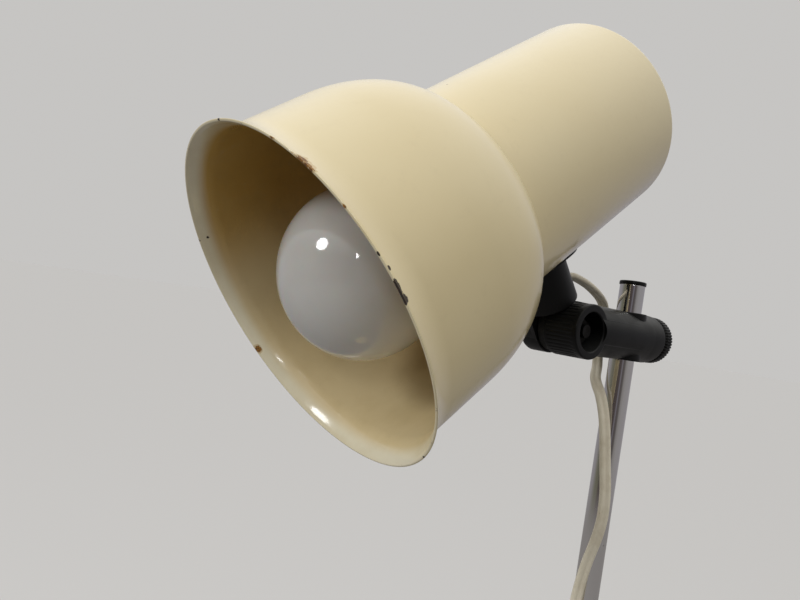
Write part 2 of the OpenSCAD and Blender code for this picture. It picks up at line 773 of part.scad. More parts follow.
module cord_floor() { flex(floor_route, lying(floor_route), cord_sides); }

module cord_lead() { flex(lead_route, lead_wides, cord_sides); }

module cord_tail() { flex(tail_route, facing(tail_route, [0, 0, 1]), cord_sides); }

// Coil on edge: the flex winds in on the lower layer, climbs in the half turn where it
// reverses, and winds out again on the upper layer
coil_end = coil_turns * 360;
loop_rings = 24;
function climb(q) = let (t = min(1, max(0, (q - coil_end / 2 + 90) / 180))) t * t * (3 - 2 * t);
function coil_point(q) =
    let (r = coil_r - coil_pitch * min(q, coil_end - q) / 360)
    [coil_x + r * cos(-90 - q), coil_y + r * sin(-90 - q), layer_1 + (layer_2 - layer_1) * climb(q)];
coil_rings = coil_turns * loop_rings;
coil_route = concat([coil_in], [for (i = [0 : coil_rings]) coil_point(i * 360 / loop_rings)], [tail_start]);

// Least gap between turns: clear sideways or clear in height
function turn_gap(a, b) = max(norm([a[0] - b[0], a[1] - b[1]]) - cord_t, abs(a[2] - b[2]) - cord_w);
half_loop = loop_rings / 2;
coil_gap = min([for (i = [0 : coil_rings - half_loop], j = [i + half_loop : coil_rings])
    turn_gap(coil_point(i * 360 / loop_rings), coil_point(j * 360 / loop_rings))]);
echo("least gap between the turns of the coil", coil_gap);

module cord_coil() { flex(coil_route, facing(coil_route, [0, 0, 1]), coil_sides); }

module coil_tie() {
    inset = coil_pitch * coil_turns / 2;
    low = coil_low - tie_t - fit;
    high = layer_2 + cord_w / 2 + fit;
    outer = coil_r + cord_t / 2 + room;
    inner = coil_r - inset - cord_t / 2 - room;
    color(BLACK) translate([coil_x, coil_y - tie_w / 2, 0]) difference() {
        translate([-outer - tie_t, 0, low]) cube([outer - inner + 2 * tie_t, tie_w, high - low + tie_t]);
        translate([-outer, -eps, low + tie_t]) cube([outer - inner, tie_w + 2 * eps, high - low - tie_t]);
    }
}

// Cord switch

module at_switch() { translate([switch_x, switch_y, 0]) children(); }

// Room for the cord at both ends of the switch
module switch_entries() {
    translate([0, 0, switch_split]) bar_x(entry_r, -switch_l / 2 - eps, -switch_l / 2 + 5);
    translate([0, 0, switch_split]) bar_x(entry_r, switch_l / 2 - 5, switch_l / 2 + eps);
}

module switch_base() {
    color(IVORY) at_switch() difference() {
        translate([0, 0, floor_gap]) linear_extrude(switch_base_h) round_rect(switch_l, switch_w, corner_r);
        translate([0, 0, floor_gap + switch_wall])
            linear_extrude(switch_base_h) round_rect(switch_l - 26, switch_w - 2 * switch_wall, corner_r - 2);
        switch_entries();
        for (s = [-1, 1]) translate([s * case_screw_x, 0, 0]) cylinder(r = case_screw_r + fit, h = switch_high);
    }
}

module switch_cover() {
    edge = 2;
    color(IVORY) at_switch() difference() {
        union() {
            translate([0, 0, switch_split]) linear_extrude(switch_top_h - edge)
                round_rect(switch_l, switch_w, corner_r);
            translate([0, 0, switch_high - edge]) linear_extrude(edge)
                round_rect(switch_l - 2 * edge, switch_w - 2 * edge, corner_r - edge / 2);
        }
        translate([0, 0, switch_split + switch_top_h / 2]) cube([rocker_l + 2 * window_room,
            rocker_w + 2 * window_room, switch_top_h + 2 * eps], center = true);
        translate([0, 0, rocker_z]) rotate([90, 0, 0]) translate([0, 0, -rocker_w / 2 - rocker_pin_l - room])
            cylinder(r = rocker_pin_r + fit, h = rocker_w + 2 * rocker_pin_l + 2 * room);
        switch_entries();
        for (s = [-1, 1]) translate([s * case_screw_x, 0, 0])
            cylinder(r = case_screw_r + fit, h = switch_split + 4);
    }
}

// Rocker with its two pins, resting on one of its two stops
module switch_rocker() {
    half = rocker_l / 2 - 0.2;
    rise = half * tan(rocker_tip);
    color("#c9c4b4") at_switch() translate([0, 0, rocker_z]) rotate([0, rocker_tip, 0]) rotate([90, 0, 0]) {
        translate([0, 0, -rocker_w / 2]) linear_extrude(rocker_w)
            polygon([[-half, 2.2 + rise], [0, 2.2], [half, 2.2 + rise], [half, 0], [4, -2.6], [-4, -2.6], [-half, 0]]);
        translate([0, 0, -rocker_w / 2 - rocker_pin_l]) cylinder(r = rocker_pin_r, h = rocker_w + 2 * rocker_pin_l);
    }
}

module switch_screws() {
    color(STEEL) at_switch() for (s = [-1, 1]) translate([s * case_screw_x, 0, floor_gap + 0.3])
        cylinder(r = case_screw_r, h = switch_split + 3 - floor_gap);
}

// Plug

module plug_body() {
    grip = plug_l * 0.45;
    nose_w = plug_w;
    tail_w = plug_w * 0.62;
    color(IVORY) translate([plug_x, plug_y, plug_z]) difference() {
        union() {
            hull() {
                for (s = [-1, 1]) {
                    translate([plug_l - 2, s * (nose_w / 2 - plug_t / 3), 0]) sphere(r = plug_t / 3, $fn = 20);
                    translate([grip, s * (nose_w / 2 - plug_t / 2), 0]) sphere(r = plug_t / 2, $fn = 20);
                    translate([plug_t / 3, s * (tail_w / 2 - plug_t / 3), 0]) sphere(r = plug_t / 3, $fn = 20);
                }
            }
            rotate([0, 90, 0]) translate([0, 0, -relief_l]) cylinder(r1 = 3.7, r2 = 5.4, h = relief_l + 4);
        }
        translate([plug_l, 0, 0]) translate([0, -plug_w, -plug_t]) cube([plug_t, 2 * plug_w, 2 * plug_t]);
        for (s = [-1, 1]) translate([0, s * pin_pitch / 2, 0]) bar_x(pin_d / 2 - 0.4, plug_l - pin_root, plug_l + eps);
        rotate([0, 90, 0]) translate([0, 0, -relief_l - eps]) cylinder(r = cord_w / 2 + 0.25, h = 2 * eps + 4);
    }
}

module plug_pins() {
    color(BRASS) translate([plug_x, plug_y, plug_z]) for (s = [-1, 1]) translate([0, s * pin_pitch / 2, 0]) {
        bar_x(pin_d / 2 - 0.4, plug_l - pin_root, plug_l + eps);
        bar_x(pin_d / 2, plug_l, plug_l + pin_l - 1);
        translate([plug_l + pin_l - 1, 0, 0]) rotate([0, 90, 0]) cylinder(r1 = pin_d / 2, r2 = pin_d / 2 - 0.8, h = 1);
    }
}

base_pad();
base_weight();
base_cover();
stem_stud();
stem_washer();
stem_nut();
stem();
stem_collar();
stem_cap();
clamp_bush();
clamp_body();
pressure_pad();
friction_disc();
clamp_screw();
clamp_knob();
neck();
pivot_bolt();
pivot_washer();
pivot_nut();
neck_screws();
cord_grommet();
shade();
holder_bracket();
holder_nipple();
holder_nut();
holder_dome();
holder_skirt();
holder_insulator();
holder_shell();
holder_contact();
inner_lead();
bulb_glass();
bulb_cap();
bulb_contact();
cord_loop();
cord_drop();
cord_floor();
cord_lead();
cord_coil();
cord_tail();
coil_tie();
switch_base();
switch_cover();
switch_rocker();
switch_screws();
plug_body();
plug_pins();
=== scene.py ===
"""Looks of the floor lamp: a cream enamel spot on a black cross clamp and a chrome stem.

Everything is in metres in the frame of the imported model. Lengths below are written in
millimetres and go through MM. The spot's own frame has z from the mouth to the rear and y
towards the tilt axis.
"""

import json
import math

import bmesh
import bpy
from mathutils import Matrix, Vector


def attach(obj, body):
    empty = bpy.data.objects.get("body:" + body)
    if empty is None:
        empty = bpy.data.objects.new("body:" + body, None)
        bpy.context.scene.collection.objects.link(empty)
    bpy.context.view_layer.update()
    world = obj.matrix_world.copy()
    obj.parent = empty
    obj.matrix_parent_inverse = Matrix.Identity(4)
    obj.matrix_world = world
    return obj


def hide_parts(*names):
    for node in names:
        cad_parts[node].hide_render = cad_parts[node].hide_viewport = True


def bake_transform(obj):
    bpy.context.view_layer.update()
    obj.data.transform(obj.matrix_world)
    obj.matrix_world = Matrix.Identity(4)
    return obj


MM = 0.001
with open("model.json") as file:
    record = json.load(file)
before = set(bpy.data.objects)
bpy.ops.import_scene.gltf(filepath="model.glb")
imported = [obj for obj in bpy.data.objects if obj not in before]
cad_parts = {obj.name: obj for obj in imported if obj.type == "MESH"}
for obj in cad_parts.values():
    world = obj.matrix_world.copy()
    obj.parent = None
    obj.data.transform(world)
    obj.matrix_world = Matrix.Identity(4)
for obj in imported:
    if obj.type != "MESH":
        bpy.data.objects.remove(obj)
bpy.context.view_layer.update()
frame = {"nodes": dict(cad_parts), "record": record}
nodes = frame["nodes"]

# Main sizes, as in the part's source
ARM_Z = 1125.3
HINGE_Z = ARM_Z - 1
ARM_REACH = 45
ARM_SIDE = 8.5
ARM_R = 12
ARM_TAIL = 17.5
BARREL_R = 12.4
BARREL_FRONT = ARM_R - 1.3
DISC_HALF = 2
DISC_LEFT = -ARM_SIDE - DISC_HALF
DISC_RIGHT = -ARM_SIDE + DISC_HALF
EAR_T = 10
EAR_LEFT = DISC_LEFT - EAR_T
STEM_R = 6
STEM_TOP = 1151
BASE_H = 20
BASE_R = 115
NECK_AT = 113
NECK_OUT = 78.3
NECK_GAP = 1.6
NECK_FLOOR = NECK_OUT - ARM_R - NECK_GAP
REAR_R = 43.3
REAR_EDGE = 3
BELL_R = 58.4
BELL_H = 35.6
SHOULDER_H = 32.1
MOUTH_R = 62
LIP_H = 10
NECK_R = 12.8
FOOT_T = 1.5
SWING_R = NECK_R + 2.4
BOSS_R = 8.7
SHADE_H = 168.5
SHADE_WALL = 0.9
TILT = math.radians(38)
# The thin lip stands a little out of square, which dies away towards the bell
LIP_LEAN = (-0.0054, -0.0205)
LIP_LEAN_H = 30

# Frame of the spot in the row frame, in metres
SPOT_Y = Vector((0, math.sin(TILT), -math.cos(TILT)))
SPOT_Z = Vector((0, math.cos(TILT), math.sin(TILT)))
HINGE = Vector((-ARM_SIDE, -ARM_REACH, HINGE_Z)) * MM
MOUTH = HINGE - SPOT_Y * NECK_OUT * MM - SPOT_Z * NECK_AT * MM


def axes_matrix(origin, x, y, z):
    """Matrix that takes millimetres along the three axes to the row frame."""
    m = Matrix((x, y, z)).transposed().to_4x4()
    m.translation = Vector(origin)
    return m @ Matrix.Scale(MM, 4)


X, Y, Z = Vector((1, 0, 0)), Vector((0, 1, 0)), Vector((0, 0, 1))
UPRIGHT = axes_matrix((0, 0, 0), X, Y, Z)
SPOT = axes_matrix(MOUTH, X, SPOT_Y, SPOT_Z)
# Along +Y through the stem at the arm's height, with local z as row y
ALONG_ARM = axes_matrix((0, 0, ARM_Z * MM), X, -Z, Y)
# Along +X on the tilt axis, with local z as row x
ALONG_BARREL = axes_matrix((0, -ARM_REACH * MM, HINGE_Z * MM), Y, Z, X)
# The same axis seen from the spot: local z is row x, local x runs along the shade
PIVOT = axes_matrix((0, HINGE.y, HINGE.z), SPOT_Y, SPOT_Z, X)
# Across the shade's axis at the neck: local z is the spot's y
NECK = axes_matrix(MOUTH + SPOT_Z * NECK_AT * MM, SPOT_Z, X, SPOT_Y)


# Mesh tools


def new_object(name, bm):
    """Object from a bmesh, with outward normals and smooth faces."""
    bmesh.ops.recalc_face_normals(bm, faces=bm.faces)
    mesh = bpy.data.meshes.new(name)
    bm.to_mesh(mesh)
    bm.free()
    obj = bpy.data.objects.new(name, mesh)
    bpy.context.scene.collection.objects.link(obj)
    smooth(obj)
    return obj


def smooth(obj, degrees=38):
    """Smooth shading with sharp edges above an angle."""
    for poly in obj.data.polygons:
        poly.use_smooth = True
    obj.data.set_sharp_from_angle(angle=math.radians(degrees))


def angles(end, step, start=0):
    """Angles in radians from start to end, which are given in degrees."""
    return [math.radians(a) for a in range(start, end + 1, step)]


def fillet(points, steps=5):
    """Polyline with its corners rounded; a point is (r, z) or (r, z, corner radius)."""
    out = []
    count = len(points)
    for i, point in enumerate(points):
        here = Vector(point[:2])
        radius = point[2] if len(point) > 2 else 0
        if not radius or i in (0, count - 1):
            out.append(here)
            continue
        before = Vector(points[i - 1][:2]) - here
        after = Vector(points[i + 1][:2]) - here
        angle = before.angle(after)
        reach = min(radius / math.tan(angle / 2), before.length * 0.49, after.length * 0.49)
        a = here + before.normalized() * reach
        b = here + after.normalized() * reach
        for k in range(steps + 1):
            t = k / steps
            out.append((1 - t) ** 2 * a + 2 * t * (1 - t) * here + t * t * b)
    return [(p[0], p[1]) for p in out]


def revolve(name, line, matrix, segments=96, closed=False, grooves=0, depths=None):
    """Turns a line of (r, z) about local z. depths gives a groove depth for each point."""
    bm = bmesh.new()
    rings = []
    for i, (r, z) in enumerate(line):
        if r < 1e-6:
            rings.append([bm.verts.new(matrix @ Vector((0, 0, z)))])
            continue
        ring = []
        for k in range(segments):
            q = 2 * math.pi * k / segments
            cut = depths[i] * max(0, math.cos(q * grooves)) if depths else 0
            place = Vector(((r - cut) * math.cos(q), (r - cut) * math.sin(q), z))
            ring.append(bm.verts.new(matrix @ place))
        rings.append(ring)
    pairs = list(zip(rings, rings[1:]))
    if closed:
        pairs.append((rings[-1], rings[0]))
    for a, b in pairs:
        for k in range(segments):
            n = (k + 1) % segments
            corners = [a[k % len(a)], a[n % len(a)], b[n % len(b)], b[k % len(b)]]
            face = list(dict.fromkeys(corners))
            if len(face) > 2:
                bm.faces.new(face)
    return new_object(name, bm)


def rod(name, radius, start, end, matrix, segments=96):
    """Plain round bar along local z, used to cut others or to be joined to them."""
    return revolve(name, [(0, start), (radius, start), (radius, end), (0, end)], matrix, segments)


def box(name, matrix, low, high):
    """Plain block, used to cut others."""
    bm = bmesh.new()
    bmesh.ops.create_cube(bm, size=1)
    mid = (Vector(low) + Vector(high)) / 2
    size = Vector(high) - Vector(low)
    for v in bm.verts:
        v.co = matrix @ (mid + Vector((v.co.x * size.x, v.co.y * size.y, v.co.z * size.z)))
    return new_object(name, bm)


def combine(obj, other, operation):
    """Applies one exact boolean and removes the second object."""
    modifier = obj.modifiers.new("cut", "BOOLEAN")
    modifier.operation = operation
    modifier.solver = "EXACT"
    modifier.object = other
    apply_modifiers(obj)
    bpy.data.objects.remove(other)


def apply_modifiers(obj):
    """Replaces the object's mesh by the evaluated one."""
    bpy.context.view_layer.update()
    graph = bpy.context.evaluated_depsgraph_get()
    mesh = bpy.data.meshes.new_from_object(obj.evaluated_get(graph))
    obj.modifiers.clear()
    obj.data = mesh
    smooth(obj)


def bevel(obj, width, segments=2, degrees=40):
    """Rounds the edges that are sharper than an angle."""
    modifier = obj.modifiers.new("bevel", "BEVEL")
    modifier.width = width * MM
    modifier.segments = segments
    modifier.limit_method = "ANGLE"
    modifier.angle_limit = math.radians(degrees)
    modifier.harden_normals = False
    apply_modifiers(obj)


# Materials


# Sockets of a mix node that mixes colours
MIX_A, MIX_B, MIX_RESULT = 6, 7, 2


class Nodes:
    """A node tree with short helpers for its nodes."""

    def __init__(self, tree, coords):
        self.tree = tree
        self.coords = tree.nodes.new("ShaderNodeTexCoord").outputs[coords]

    def node(self, kind, **inputs):
        """New node with values or links for its inputs."""
        made = self.tree.nodes.new(kind)
        for key, value in inputs.items():
            self.feed(made.inputs[key], value)
        return made

    def feed(self, socket, value):
        """Gives an input a link or a plain value."""
        if isinstance(value, bpy.types.NodeSocket):
            self.tree.links.new(value, socket)
        else:
            socket.default_value = value

    def math(self, operation, *values):
        """Sum, product or the like of numbers."""
        made = self.tree.nodes.new("ShaderNodeMath")
        made.operation = operation
        for i, value in enumerate(values):
            self.feed(made.inputs[i], value)
        return made.outputs[0]

    def vector(self, operation, *values):
        """The same for vectors; some operations give a number."""
        made = self.tree.nodes.new("ShaderNodeVectorMath")
        made.operation = operation
        for i, value in enumerate(values):
            self.feed(made.inputs[i], value)
        is_number = operation in ("DISTANCE", "DOT_PRODUCT", "LENGTH")
        return made.outputs["Value" if is_number else "Vector"]

    def stretched(self, scale):
        """Coordinates scaled along each axis."""
        made = self.tree.nodes.new("ShaderNodeMapping")
        self.feed(made.inputs["Vector"], self.coords)
        made.inputs["Scale"].default_value = scale
        return made.outputs[0]

    def noise(self, scale, detail=3, rough=0.5, vector=None):
        """Cloudy values between 0 and 1."""
        made = self.node("ShaderNodeTexNoise", Scale=scale, Detail=detail, Roughness=rough)
        self.feed(made.inputs["Vector"], vector or self.coords)
        return made.outputs["Fac"]

    def ramp(self, value, low, high, to_low=0.0, to_high=1.0):
        """Smooth step from one value to another."""
        made = self.tree.nodes.new("ShaderNodeMapRange")
        made.interpolation_type = "SMOOTHSTEP"
        for i, v in enumerate((value, low, high, to_low, to_high)):
            self.feed(made.inputs[i], v)
        return made.outputs[0]

    def mix(self, factor, a, b):
        """Colour between two others."""
        made = self.tree.nodes.new("ShaderNodeMix")
        made.data_type = "RGBA"
        self.feed(made.inputs[0], factor)
        for socket, value in ((MIX_A, a), (MIX_B, b)):
            self.feed(made.inputs[socket], (*value, 1) if isinstance(value, tuple) else value)
        return made.outputs[MIX_RESULT]


class Shader(Nodes):
    """A principled material."""

    def __init__(self, name, **values):
        self.material = bpy.data.materials.new(name)
        self.material.use_nodes = True
        super().__init__(self.material.node_tree, "Object")
        self.bsdf = self.tree.nodes["Principled BSDF"]
        for key, value in values.items():
            self.bsdf.inputs[key.replace("_", " ")].default_value = value

    def link(self, output, socket):
        """Feeds one input of the surface."""
        self.tree.links.new(output, self.bsdf.inputs[socket])

    def bump(self, height, strength, distance):
        """Fine relief of the surface."""
        made = self.node("ShaderNodeBump", Strength=strength, Distance=distance, Height=height)
        self.link(made.outputs[0], "Normal")


# How far the noise eats into a chip, and where its ragged edge ends and starts, in chip radii
RAGGED = 1.6
CHIP_OUT = 1.75
CHIP_IN = 1.55


def chip_mask(s, spots, wobble):
    """1 inside any of the spots (place in metres, radius in metres), with ragged edges."""
    mask = None
    for place, radius in spots:
        far = s.vector("DISTANCE", s.coords, tuple(place))
        ragged = s.math("MULTIPLY_ADD", wobble, radius * RAGGED, far)
        spot = s.ramp(ragged, radius * CHIP_OUT, radius * CHIP_IN)
        mask = spot if mask is None else s.math("MAXIMUM", mask, spot)
    return mask


def on_spot(x, y, z):
    """Point of the spot's frame, millimetres, in the row frame."""
    return SPOT @ Vector((x, y, z))


def lip_shift(x, y, z):
    """How far a point of the shade moves along the axis because of the leaning lip."""
    fade = max(0, 1 - z / LIP_LEAN_H) ** 2
    return (LIP_LEAN[0] * x + LIP_LEAN[1] * y) * fade


def lip_radius(z):
    """Outer radius of the flared lip at a height over the mouth."""
    return BELL_R + (MOUTH_R - BELL_R) * (1 - z / LIP_H) ** 2


def on_rim(degrees, z, inside=0):
    """Point of the lip's outer skin, or a little inside it."""
    q = math.radians(degrees)
    radius = lip_radius(z) - inside
    x, y = radius * math.cos(q), radius * math.sin(q)
    return on_spot(x, y, z + lip_shift(x, y, 0))


CREAM = (0.80, 0.685, 0.42)
CREAM_AGED = (0.77, 0.645, 0.37)
# Painted light on the band behind the lip's edge, paler than the outer cream
LIT_LIP_CREAM = (0.90, 0.83, 0.62)
INNER_CREAM = (0.82, 0.67, 0.39)
# Upper inside: heat browning together with painted shade
BROWNED_AND_SHADED = (0.60, 0.37, 0.095)
# Deep inside the bell: heat scorch together with painted shade
SCORCHED_AND_SHADED = (0.52, 0.31, 0.08)
SMOKED = (0.56, 0.41, 0.17)
DUSTY = (0.58, 0.47, 0.27)
SPECK = (0.16, 0.09, 0.04)
# Enamel gathered at the rim's edge, with a painted highlight
POOLED_AND_LIT = (0.86, 0.77, 0.54)
WORN = (0.24, 0.16, 0.08)
RUST = (0.36, 0.165, 0.022)
RUST_DARK = (0.10, 0.04, 0.012)
RUST_HALO = (0.56, 0.34, 0.09)
HALO_SIZE = 1.6
BARE = (0.030, 0.018, 0.012)


def from_mouth(s, direction):
    """Distance from the middle of the mouth along a direction, in metres."""
    return s.vector("DOT_PRODUCT", s.vector("SUBTRACT", s.coords, tuple(MOUTH)), tuple(direction))


def behind_lip(s):
    """Distance behind the plane of the leaning lip, in metres."""
    return from_mouth(s, SPOT_Z - X * LIP_LEAN[0] - SPOT_Y * LIP_LEAN[1])


def enamel(name, chips, dark_chips, rim=False, inside=False):
    """Glossy stoved enamel: faint orange peel, yellowed patches, specks, rust chips; inside, painted
    shade with heat browning and a painted-light band behind the lip; on the rim, gathered enamel
    with a painted highlight, and wear.
    """
    s = Shader(name, Coat_Weight=0.3, Coat_Roughness=0.05, Specular_IOR_Level=0.45)
    patches = s.ramp(s.noise(9, 4, 0.55), 0.35, 0.75)
    color = s.mix(patches, CREAM, CREAM_AGED)
    if inside:
        # Painted shade: the upper inside, which faces down, turns darker and browner; partly heat
        # browning too
        above = s.ramp(from_mouth(s, -SPOT_Y), -0.008, 0.034)
        color = s.mix(above, INNER_CREAM, BROWNED_AND_SHADED)
        # Painted light: a paler band just behind the lip's edge
        color = s.mix(s.ramp(behind_lip(s), 0.002, 0.0065), LIT_LIP_CREAM, color)
        # Painted shade deeper in the bell, together with heat scorch: browner further behind the lip
        color = s.mix(s.ramp(behind_lip(s), 0.02, 0.08, 0, 0.8), color, SCORCHED_AND_SHADED)
        smoke = s.ramp(s.noise(28, 5, 0.6), 0.42, 0.7, 0, 0.25)
        color = s.mix(smoke, color, SMOKED)
    dust = s.ramp(s.noise(160, 5, 0.65), 0.55, 0.8, 0, 0.14)
    color = s.mix(dust, color, DUSTY)
    cells = s.node("ShaderNodeTexVoronoi", Scale=55.0)
    s.feed(cells.inputs["Vector"], s.coords)
    drawn = s.node("ShaderNodeSeparateColor", Color=cells.outputs["Color"]).outputs["Red"]
    rare = s.math("GREATER_THAN", drawn, 0.9)
    speck = s.math("MULTIPLY", s.ramp(cells.outputs["Distance"], 0.03, 0.02), rare)
    color = s.mix(s.math("MULTIPLY", speck, 0.7), color, SPECK)
    if rim:
        # Pale line along the rim's edge: gathered enamel and a painted highlight
        edge = s.ramp(behind_lip(s), 0.0009, 0.0003)
        pooled_and_lit = s.math("MULTIPLY", edge, s.ramp(s.noise(60, 3), 0.4, 0.6, 0.2, 0.6))
        color = s.mix(pooled_and_lit, color, POOLED_AND_LIT)
        worn = s.math("MULTIPLY", edge, s.ramp(s.noise(210, 5, 0.7), 0.63, 0.7))
        color = s.mix(worn, color, WORN)
    wobble = s.noise(700, 5, 0.7)
    rust = chip_mask(s, chips, wobble)
    wide_chips = [(place, radius * HALO_SIZE) for place, radius in chips]
    halo = chip_mask(s, wide_chips, s.noise(380, 4, 0.6))
    color = s.mix(s.math("MULTIPLY", halo, 0.5), color, RUST_HALO)
    crust = s.mix(s.ramp(s.noise(1500, 4), 0.4, 0.65), RUST, RUST_DARK)
    color = s.mix(rust, color, crust)
    bare = chip_mask(s, dark_chips, wobble)
    color = s.mix(bare, color, BARE)
    s.link(color, "Base Color")
    worn_all = s.math("MAXIMUM", rust, bare)
    rough = s.ramp(s.noise(35, 4, 0.6), 0.3, 0.75, 0.14, 0.26)
    s.link(s.math("MAXIMUM", rough, s.math("MULTIPLY", worn_all, 0.85)), "Roughness")
    peel = s.math("MULTIPLY", s.noise(230, 2), 0.5)
    s.bump(s.math("SUBTRACT", peel, worn_all), 0.12, 0.0006)
    return s.material


def black_plastic(name):
    """Moulded plastic: fine spark grain, dust and painted top light that lighten faces looking up,
    faint scuffs.
    """
    s = Shader(name, Specular_IOR_Level=0.17)
    normal = s.node("ShaderNodeNewGeometry").outputs["Normal"]
    up = s.node("ShaderNodeSeparateXYZ", Vector=normal).outputs["Z"]
    # Painted light together with dust: faces that look up are lighter, faces that look down darker
    dust_and_light_by_slope = s.ramp(up, -0.35, 0.9, 0.02, 0.6)
    by_patch = s.ramp(s.noise(60, 6, 0.7), 0.3, 0.8, 0.6, 1)
    dust_and_top_light = s.math("MULTIPLY", dust_and_light_by_slope, by_patch)
    color = s.mix(dust_and_top_light, (0.0013, 0.0014, 0.0014), (0.040, 0.041, 0.040))
    scuff = s.ramp(s.noise(1.0, 4, 0.6, s.stretched((140, 900, 900))), 0.66, 0.76, 0, 0.2)
    s.link(s.mix(scuff, color, (0.03, 0.03, 0.03)), "Base Color")
    s.link(s.ramp(s.noise(85, 4), 0.3, 0.7, 0.33, 0.46), "Roughness")
    s.bump(s.noise(1900, 2), 0.10, 0.00025)
    return s.material


def chrome(name):
    """Plated tube: fine draw lines along it, a few pits and haze."""
    s = Shader(name, Metallic=1.0)
    lines = s.noise(1.0, 3, 0.5, s.stretched((900, 900, 6)))
    pits = s.ramp(s.noise(420, 3, 0.6), 0.71, 0.76)
    haze = s.ramp(s.noise(22, 5, 0.6), 0.45, 0.75, 0, 0.12)
    color = s.mix(haze, (0.70, 0.69, 0.68), (0.55, 0.53, 0.50))
    s.link(s.mix(s.math("MULTIPLY", pits, 0.6), color, (0.16, 0.12, 0.09)), "Base Color")
    drawn = s.ramp(lines, 0.35, 0.7, 0.05, 0.13)
    s.link(s.math("ADD", drawn, s.math("MULTIPLY", pits, 0.35)), "Roughness")
    s.bump(lines, 0.05, 0.0001)
    return s.material


def metal(name, color, dull, rough):
    """Small turned or plated hardware with tarnish."""
    s = Shader(name, Metallic=1.0)
    tarnish = s.ramp(s.noise(240, 5, 0.65), 0.42, 0.7, 0, 0.7)
    s.link(s.mix(tarnish, color, dull), "Base Color")
    s.link(s.ramp(s.noise(500, 3), 0.3, 0.7, rough - 0.08, rough + 0.1), "Roughness")
    s.bump(s.noise(1.0, 3, 0.5, s.stretched((2500, 300, 300))), 0.06, 0.0001)
    return s.material


def iron(name):
    """Raw casting with a sandy skin."""
    s = Shader(name, Metallic=0.6, Specular_IOR_Level=0.3)
    rusty = s.ramp(s.noise(120, 5), 0.4, 0.7)
    s.link(s.mix(rusty, (0.06, 0.06, 0.062), (0.11, 0.075, 0.05)), "Base Color")
    s.link(s.ramp(s.noise(300, 3), 0.3, 0.7, 0.6, 0.85), "Roughness")
    s.bump(s.noise(900, 5, 0.7), 0.5, 0.0006)
    return s.material


def felt(name):
    """Short black pile."""
    s = Shader(name, Roughness=0.95, Sheen_Weight=0.4)
    s.link(s.mix(s.noise(1600, 4, 0.7), (0.014, 0.014, 0.015), (0.05, 0.05, 0.05)), "Base Color")
    s.bump(s.noise(2600, 4, 0.8), 0.6, 0.0005)
    return s.material


def opal(name):
    """Opal glass: white body under a glossy skin."""
    s = Shader(name, Specular_IOR_Level=0.55, Coat_Weight=0.5, Coat_Roughness=0.03,
               Subsurface_Weight=0.25, Subsurface_Scale=0.004)
    cloud = s.ramp(s.noise(30, 4), 0.35, 0.7)
    color = s.mix(cloud, (0.67, 0.655, 0.625), (0.63, 0.617, 0.59))
    dust = s.ramp(s.noise(420, 5, 0.7), 0.62, 0.8, 0, 0.12)
    s.link(s.mix(dust, color, (0.45, 0.42, 0.36)), "Base Color")
    s.link(s.ramp(s.noise(70, 4), 0.35, 0.75, 0.05, 0.11), "Roughness")
    s.bump(s.noise(45, 2), 0.02, 0.0005)
    return s.material


def flex_plastic(name):
    """Aged flat flex: greyed ivory PVC with soiled streaks."""
    s = Shader(name, Specular_IOR_Level=0.4)
    soil = s.ramp(s.noise(75, 5, 0.65), 0.4, 0.72)
    color = s.mix(soil, (0.78, 0.72, 0.58), (0.66, 0.59, 0.45))
    spots = s.ramp(s.noise(600, 4, 0.7), 0.66, 0.76, 0, 0.5)
    s.link(s.mix(spots, color, (0.22, 0.19, 0.14)), "Base Color")
    s.link(s.ramp(s.noise(160, 3), 0.3, 0.7, 0.32, 0.5), "Roughness")
    s.bump(s.noise(900, 3), 0.12, 0.0002)
    return s.material


def moulded(name, color, soiled, rough=(0.28, 0.42)):
    """Glossy moulded plastic, a little soiled in patches."""
    s = Shader(name, Specular_IOR_Level=0.5)
    patches = s.ramp(s.noise(55, 5, 0.6), 0.45, 0.75, 0, 0.5)
    s.link(s.mix(patches, color, soiled), "Base Color")
    s.link(s.ramp(s.noise(130, 3), 0.3, 0.7, *rough), "Roughness")
    s.bump(s.noise(1500, 2), 0.06, 0.0002)
    return s.material


def rubber(name):
    """Matt rubber with a dusty bloom."""
    s = Shader(name, Specular_IOR_Level=0.3)
    bloom = s.ramp(s.noise(200, 4), 0.4, 0.75)
    s.link(s.mix(bloom, (0.008, 0.008, 0.008), (0.022, 0.021, 0.02)), "Base Color")
    s.link(s.ramp(s.noise(400, 3), 0.3, 0.7, 0.6, 0.85), "Roughness")
    s.bump(s.noise(1800, 3), 0.2, 0.0002)
    return s.material


# Chips of the spot and the base: place and radius in metres
RIM_RUST = [(on_rim(-48.9, 0.9), 0.0019), (on_rim(-46.6, 0.7), 0.0014), (on_rim(-45, 0.5), 0.0010),
            (on_rim(-33.2, 0.2), 0.0006), (on_rim(154.6, 0.8, 0.8), 0.0015),
            (on_rim(-59.1, 0.3), 0.0007)]
RIM_DARK = [(on_rim(-16.5, 0.9), 0.0008), (on_rim(-13.1, 0.4), 0.0012), (on_rim(-12, 0.4), 0.0014),
            (on_rim(-10.9, 0.3), 0.0012), (on_rim(-8.9, 0.5), 0.0017), (on_rim(-20.4, 0), 0.0008),
            (on_rim(-83.5, 0.1), 0.0008), (on_spot(-53.8, -23.2, 3.4), 0.0010),
            (on_rim(49, 0), 0.0008)]
BASE_RUST = [((0.081, -0.081, 0.0165), 0.0022), ((-0.113, 0.012, 0.006), 0.0018),
             ((0.02, 0.1135, 0.011), 0.002)]
BASE_DARK = [((-0.07, -0.088, 0.015), 0.0014), ((0.1135, 0.012, 0.007), 0.0016)]

